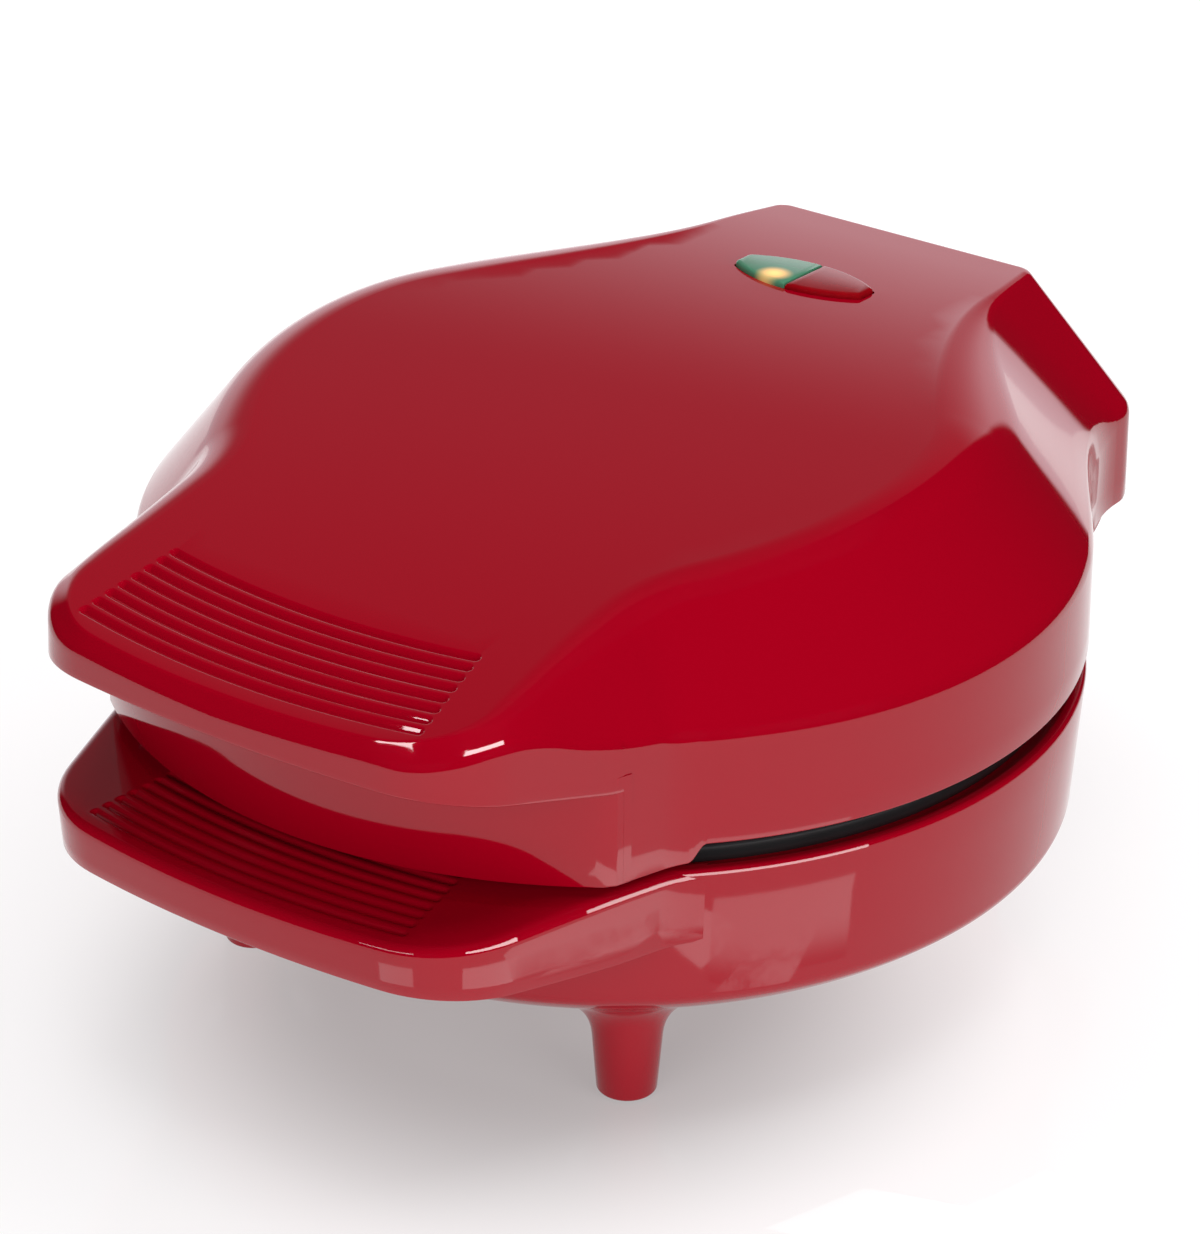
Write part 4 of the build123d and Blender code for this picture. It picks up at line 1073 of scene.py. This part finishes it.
# the lower plate as drawn, or the same turned over the parting plane for the upper one
def buildPlate(name, body, node, turned):
    skin = newSkin()
    radius, face, back, tray = plate["radius"], plate["face"], plate["back"], plate["tray"]

    def addCircle(x, y, r, z, count):
        level = 2 * plate["parting"] - z if turned else z
        return addRing(skin, [(px, py, level) for px, py in circle(x, y, r, count)])

    def addCells(kind, level):
        values = {label: value * mm for label, value in {**cells["lengths"], **cells[kind]}.items()}
        values.update(cells["counts"], Material=materials["plateCoating"])
        return addMesh(skin, runTree(cellMaker, values, kind),
                       lambda x, y, z: (x, y, 2 * plate["parting"] - (level + z) if turned else level + z))

    flat, corner = (radius - 6.0, 0, face), (plate["trayRadius"], 0, tray)
    side = roundedCorner((radius, 0, back), (radius, 0, face), flat, plate["outerRound"], 5)
    lip = roundedCorner(flat, (plate["trayTop"], 0, face), corner, plate["lipRound"], 4)
    root = roundedCorner(lip[-1], corner, (corner[0] - 12.0, 0, tray), plate["rootRound"], 4)
    edge = [Vector((radius - plate["backEdge"], 0, back)), Vector((radius, 0, back + plate["backEdge"]))]
    rings = []
    for group in (edge + side, lip + root):
        rings.append([addCircle(0, 0, p.x, p.z, plate["segments"]) for p in group])
        bridgeAll(skin, rings[-1])
    sinks = []
    for x, y in fourRound(plate["screwCircle"]):
        sinks.append([addCircle(x, y, r, z, 32) for r, z in (
            (plate["sinkRadius"], face), (plate["holeRadius"], face - plate["sinkDepth"]),
            (plate["holeRadius"], back))])
        bridgeAll(skin, sinks[-1])
    fillCap(skin, rings[0][-1], [rings[1][0]] + [sink[0] for sink in sinks])
    fillCap(skin, rings[1][-1], addCells("hollow", tray))
    fillCap(skin, rings[0][0], addCells("bulge", back) + [sink[-1] for sink in sinks])
    makePiece(name, skin, "plateCoating", body, node, 50.0)


buildPlate("lowerPlate", "base", "lower_plate", False)
buildPlate("upperPlate", "lid", "upper_plate", True)

# countersunk screws with a cross recess, set round a circle by a node tree
screw = {"head": 3.4, "shank": 1.75, "length": 12.0, "rise": 0.25, "recess": 1.5, "arm": 1.9, "armHalf": 0.42,
         "recessTaper": 0.6, "top": 72.2, "circle": 101.0, "count": 4}


def screwShape():
    skin = newSkin()
    head, shank, low = screw["head"], screw["shank"], -screw["length"]
    top = lathe(skin, [(0, low), (shank - 0.4, low), (shank, low + 0.5), (shank, shank - head),
                       (head, -screw["rise"]), (head - 0.08, -0.06), (head - 0.25, 0)], 36)[-1]
    arm, half = screw["arm"], screw["armHalf"]
    cross = [rotated(along, across, math.radians(angle)) for angle in (0, 90, 180, 270)
             for along, across in ((half, -half), (arm, -half), (arm, half))]
    mouth = addRing(skin, [(x, y, 0) for x, y in cross])
    taper = screw["recessTaper"]
    floor = addRing(skin, [(x * taper, y * taper, -screw["recess"]) for x, y in cross])
    bridge(skin, mouth, floor)
    fillCap(skin, top, [mouth])
    fillCap(skin, floor)
    return bpy.data.objects.new("screwShape", newMesh("screwShape", skin))


def screwTree():
    tree, given = newTree("screwCircle", {"Int": ("Count",), "Float": ("Radius", "Turn"),
                                          "Object": ("Screw",), "Material": ("Material",)})
    ring = fromNode(tree, "GeometryNodeMeshCircle", {"Vertices": given["Count"], "Radius": given["Radius"]})
    spin = fromNode(tree, "ShaderNodeCombineXYZ", {"Z": given["Turn"]})
    turned = fromNode(tree, "GeometryNodeTransform", {"Geometry": ring, "Rotation": spin})
    shape = fromNode(tree, "GeometryNodeObjectInfo", {"Object": given["Screw"]}, "Geometry")
    return endTree(tree, given, instanceOn(tree, turned, shape))


def buildScrews():
    maker, shape = screwTree(), screwShape()
    values = {"Count": screw["count"], "Radius": screw["circle"] * mm, "Turn": math.radians(45),
              "Screw": shape, "Material": materials["screwSteel"]}
    middle = plate["parting"]
    for name, body, node, way in (("lowerPlateScrews", "base", "lower_plate_screws", 1),
                                  ("upperPlateScrews", "lid", "upper_plate_screws", -1)):
        skin = newSkin()
        addMesh(skin, runTree(maker, values, name),
                lambda x, y, z: (x, y, middle + way * (screw["top"] - middle + z)))
        makePiece(name, skin, "screwSteel", body, node, 30.0)
    bpy.data.objects.remove(shape)


buildScrews()

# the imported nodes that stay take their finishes
kept = {
    "elementSheath": ("lower_heating_element", "upper_heating_element"),
    "reflectorSheet": ("lower_reflector", "upper_reflector"),
    "screwSteel": ("lamp_screws", "hinge_pin_left", "hinge_pin_right"),
    "whitePlastic": ("terminal_block", "lamp_holder", "thermostat", "thermal_fuse"),
    "blackRubber": ("cord_bush", "foot_pad_front_left", "foot_pad_front_right", "foot_pad_back_left",
                    "foot_pad_back_right"),
    "lampGlass": ("ready_lamp", "power_lamp"),
}
for finish, names in kept.items():
    for node in names:
        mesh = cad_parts[node].data
        mesh.materials.clear()
        mesh.materials.append(materials[finish])
print("packed nodes dressed")

# the photograph's camera: turn, rise and roll in degrees, and its place
view = {"azimuth": 35.95, "elevation": 26.91, "roll": 0.47, "place": (529.9, -736.1, 534.8), "lens": 125.26}

# floor and backdrop: radii and glows of the painted shade under the object, then the bright backdrop behind
# it
studio = {"floorColour": 0.25, "floorRough": 0.12, "floorTint": (1, 0.985, 0.99, 1),
          "glows": (0.33, 0.74, 0.89), "radii": (0.04, 0.12, 0.42), "paintedShadeMiddle": (0.012, -0.05, 0.0),
          "floorTurn": 36, "floorAcross": (-700.0, 420.0), "floorAway": (-700.0, 1300.0),
          "backGlow": 1.18, "backLow": 0.2, "backFrom": 95.5, "backTo": 165.0, "ambient": 0.012,
          "roomTint": (1, 0.93, 0.99, 1)}

# bright bands that only polished surfaces show: places along the outline, two rows of inset, height and tilt
floorBands = [
    {"from": 1.02, "to": 1.26, "rows": ((0.5, 52.0, -3.6), (0.0, 67.0, -3.6)), "glow": 2.4},
    {"from": 1.61, "to": 1.99, "rows": ((0.5, 51.0, -3.6), (0.0, 67.0, -3.6)), "glow": 2.9},
    {"from": 2.3, "to": 4.20, "rows": ((1.5, 38.0, -3.6), (0.0, 67.0, -3.6)), "glow": 2.4, "fade": 0.5},
]
cards = [
    {"from": 0.88, "to": 1.26, "rows": ((0.1, 67.6, 8.0), (0.4, 68.6, 22.0)), "away": 2.4, "glow": 9.0},
    {"from": 1.63, "to": 2.02, "rows": ((0.1, 67.6, 8.0), (0.8, 68.8, 34.0)), "away": 2.4, "glow": 14.0},
    {"from": 2.5, "to": 4.22, "rows": ((0.1, 68.0, 10.0), (0.5, 69.0, 26.0)), "away": 2.0, "glow": 11.0},
    {"from": 1.0, "to": 1.26, "rows": ((1.6, 112.8, 39.0), (3.2, 114.6, 50.0)), "away": 30.0, "glow": 18.0},
    {"from": 1.56, "to": 1.92, "rows": ((1.6, 113.2, 37.0), (3.4, 115.4, 45.0)), "away": 30.0, "glow": 20.0},
]


# adds the points where the camera's rays go from a band of the surface, and returns their glows
def addMirror(skin, band, reach):
    rings, glows = [], []
    eye = Vector(view["place"])
    for step in range(11):
        inset, height, tilt = (a + (b - a) * step / 10 for a, b in zip(*band["rows"]))
        lean = math.radians(tilt)
        part = 0.3 + 0.7 * smoothStep(0, band["fade"], step / 10) if "fade" in band else 1.0
        glows += [band["glow"] * part] * 41
        ring = []
        for u in spread(band["from"], band["to"], 40):
            spot, out = insetPoint(u, inset, height), planPoint(u)[1]
            normal = Vector((out.x * math.cos(lean), out.y * math.cos(lean), math.sin(lean)))
            way = (spot - eye).normalized()
            way -= normal * 2 * way.dot(normal)
            ring.append(spot + way * reach(spot, way))
        rings.append(addRing(skin, ring))
    bridgeAll(skin, rings, False)
    return glows


def shiningMesh(name, skin, glows):
    mesh = newMesh(name, skin)
    mesh.attributes.new("shine", "FLOAT", "POINT").data.foreach_set("value", glows)
    return mesh


# material that glows by the mesh's own values, only for glossy rays or for rays shorter than a limit
def glowMaterial(name, limit=None):
    material, tree, shader = newMaterial(name)
    tree.nodes.remove(shader)
    shine = fromNode(tree, "ShaderNodeAttribute", output="Fac", attribute_name="shine")
    ray = addNode(tree, "ShaderNodeLightPath").outputs
    shown = treeNumber(ray["Ray Length"]).calc("LESS_THAN", limit) if limit else ray["Is Glossy Ray"]
    mix = fromNode(tree, "ShaderNodeMixShader", {
        0: shown, 1: fromNode(tree, "ShaderNodeBsdfTransparent"),
        2: fromNode(tree, "ShaderNodeEmission", {"Strength": shine})})
    setInputs(tree.nodes["Material Output"], {"Surface": mix})
    return material


# pale floor whose glow dims under the object: a painted shadow
def floorMaterial():
    material, tree, shader = newMaterial("paleFloor")
    away = distanceFrom(tree, studio["paintedShadeMiddle"])
    (near, middle, far), (shadowGlow, half, full) = studio["radii"], studio["glows"]
    glow = away.ramp(near, middle, shadowGlow, half) + away.ramp(middle, far, half, full) - half
    setInputs(shader, {"Base Color": (*[studio["floorColour"]] * 3, 1), "Roughness": studio["floorRough"],
                       "Specular IOR Level": 0.5, "Emission Color": studio["floorTint"],
                       "Emission Strength": glow})
    return material


def buildFloor():
    skin = newSkin()
    turn = math.radians(studio["floorTurn"])
    (left, right), (front, back) = studio["floorAcross"], studio["floorAway"]
    corners = [(*rotated(x, y, turn), 0)
               for x, y in ((left, front), (right, front), (right, back), (left, back))]
    skin["faces"].append(tuple(addRing(skin, corners)))
    glows = [0.0] * 4
    for band in floorBands:
        glows += addMirror(skin, band, lambda spot, way: (spot.z - 0.3) / -way.z)
    mesh = shiningMesh("floor", skin, glows)
    mesh.materials.append(floorMaterial())
    mesh.materials.append(glowMaterial("floorBand"))
    mesh.polygons.foreach_set("material_index", [0] + [1] * (len(skin["faces"]) - 1))
    addObject("floor", mesh)


def buildCards():
    for number, card in enumerate(cards):
        skin = newSkin()
        glows = addMirror(skin, card, lambda spot, way: card["away"])
        mesh = shiningMesh(f"card{number}", skin, glows)
        mesh.materials.append(glowMaterial(f"cardGlow{number}", 1.25 * card["away"] * mm))
        holder = addObject(f"card{number}", mesh)
        for ray in ("camera", "diffuse", "shadow", "transmission"):
            setattr(holder, "visible_" + ray, False)


# name: place, target, width, height and power; neither polished surfaces nor the camera show them
lights = {
    "key": ((0.1, 0.25, 1.5), (0, 0, 0), 1.3, 1.3, 22.0),
    "frontFill": ((0.3, -1.35, 0.5), (0, 0, 0.08), 1.2, 0.8, 11.5),
    "sideFill": ((1.4, -0.25, 0.4), (0, 0, 0.08), 1.0, 0.7, 12.0),
}


def addLight(name, place, target, width, height, power):
    light = bpy.data.lights.new(name, "AREA")
    light.shape = "RECTANGLE"
    light.size = width
    light.size_y = height
    light.energy = power
    holder = addObject(name, light)
    holder.location = place
    holder.rotation_euler = (Vector(target) - Vector(place)).to_track_quat("-Z", "Y").to_euler()
    holder.visible_glossy = False
    holder.visible_camera = False


# bright backdrop behind the object that fades upwards, in a dim room; the camera itself sees white
def buildWorld():
    world = bpy.data.worlds.new("studio")
    bpy.context.scene.world = world
    world.use_nodes = True
    tree = world.node_tree
    way = fromNode(tree, "ShaderNodeTexCoord", output="Generated")
    x, y, z = splitXYZ(tree, way)
    turn = y.calc("ARCTAN2", x)
    start, end = math.radians(studio["backFrom"]), math.radians(studio["backTo"])
    rise = z.ramp(0.18, 0.5, studio["backGlow"], studio["backLow"]) * z.ramp(0.5, 0.9, 1.0, 0.3)
    width = turn.ramp(start - 0.02, start + 0.02, 0.0, 1.0) * turn.ramp(end - 0.1, end + 0.1, 1.0, 0.0)
    seen = fromNode(tree, "ShaderNodeLightPath", output="Is Camera Ray")
    tint = mixColour(tree, seen, studio["roomTint"], (1, 1, 1, 1))
    glow = (rise * width + studio["ambient"]).calc("MAXIMUM", seen)
    setInputs(tree.nodes["Background"], {"Color": tint, "Strength": glow})


def buildCamera():
    azimuth, elevation, roll = (math.radians(view[key]) for key in ("azimuth", "elevation", "roll"))
    back = Vector((math.sin(azimuth) * math.cos(elevation), -math.cos(azimuth) * math.cos(elevation),
                   math.sin(elevation)))
    right = Vector((math.cos(azimuth), math.sin(azimuth), 0))
    up = back.cross(right)
    rightRolled = right * math.cos(roll) + up * math.sin(roll)
    upRolled = up * math.cos(roll) - right * math.sin(roll)
    data = bpy.data.cameras.new("camera")
    data.lens = view["lens"]
    data.sensor_width = 36.0
    data.clip_start = 0.05
    data.clip_end = 30.0
    camera = addObject("camera", data)
    turn = Matrix((rightRolled, upRolled, back)).transposed().to_4x4()
    camera.matrix_world = Matrix.Translation([c * mm for c in view["place"]]) @ turn
    bpy.context.scene.camera = camera


buildFloor()
buildWorld()
buildCards()
for name, light in lights.items():
    addLight(name, *light)
buildCamera()
bpy.context.scene.view_settings.view_transform = "Standard"
print("studio ready")
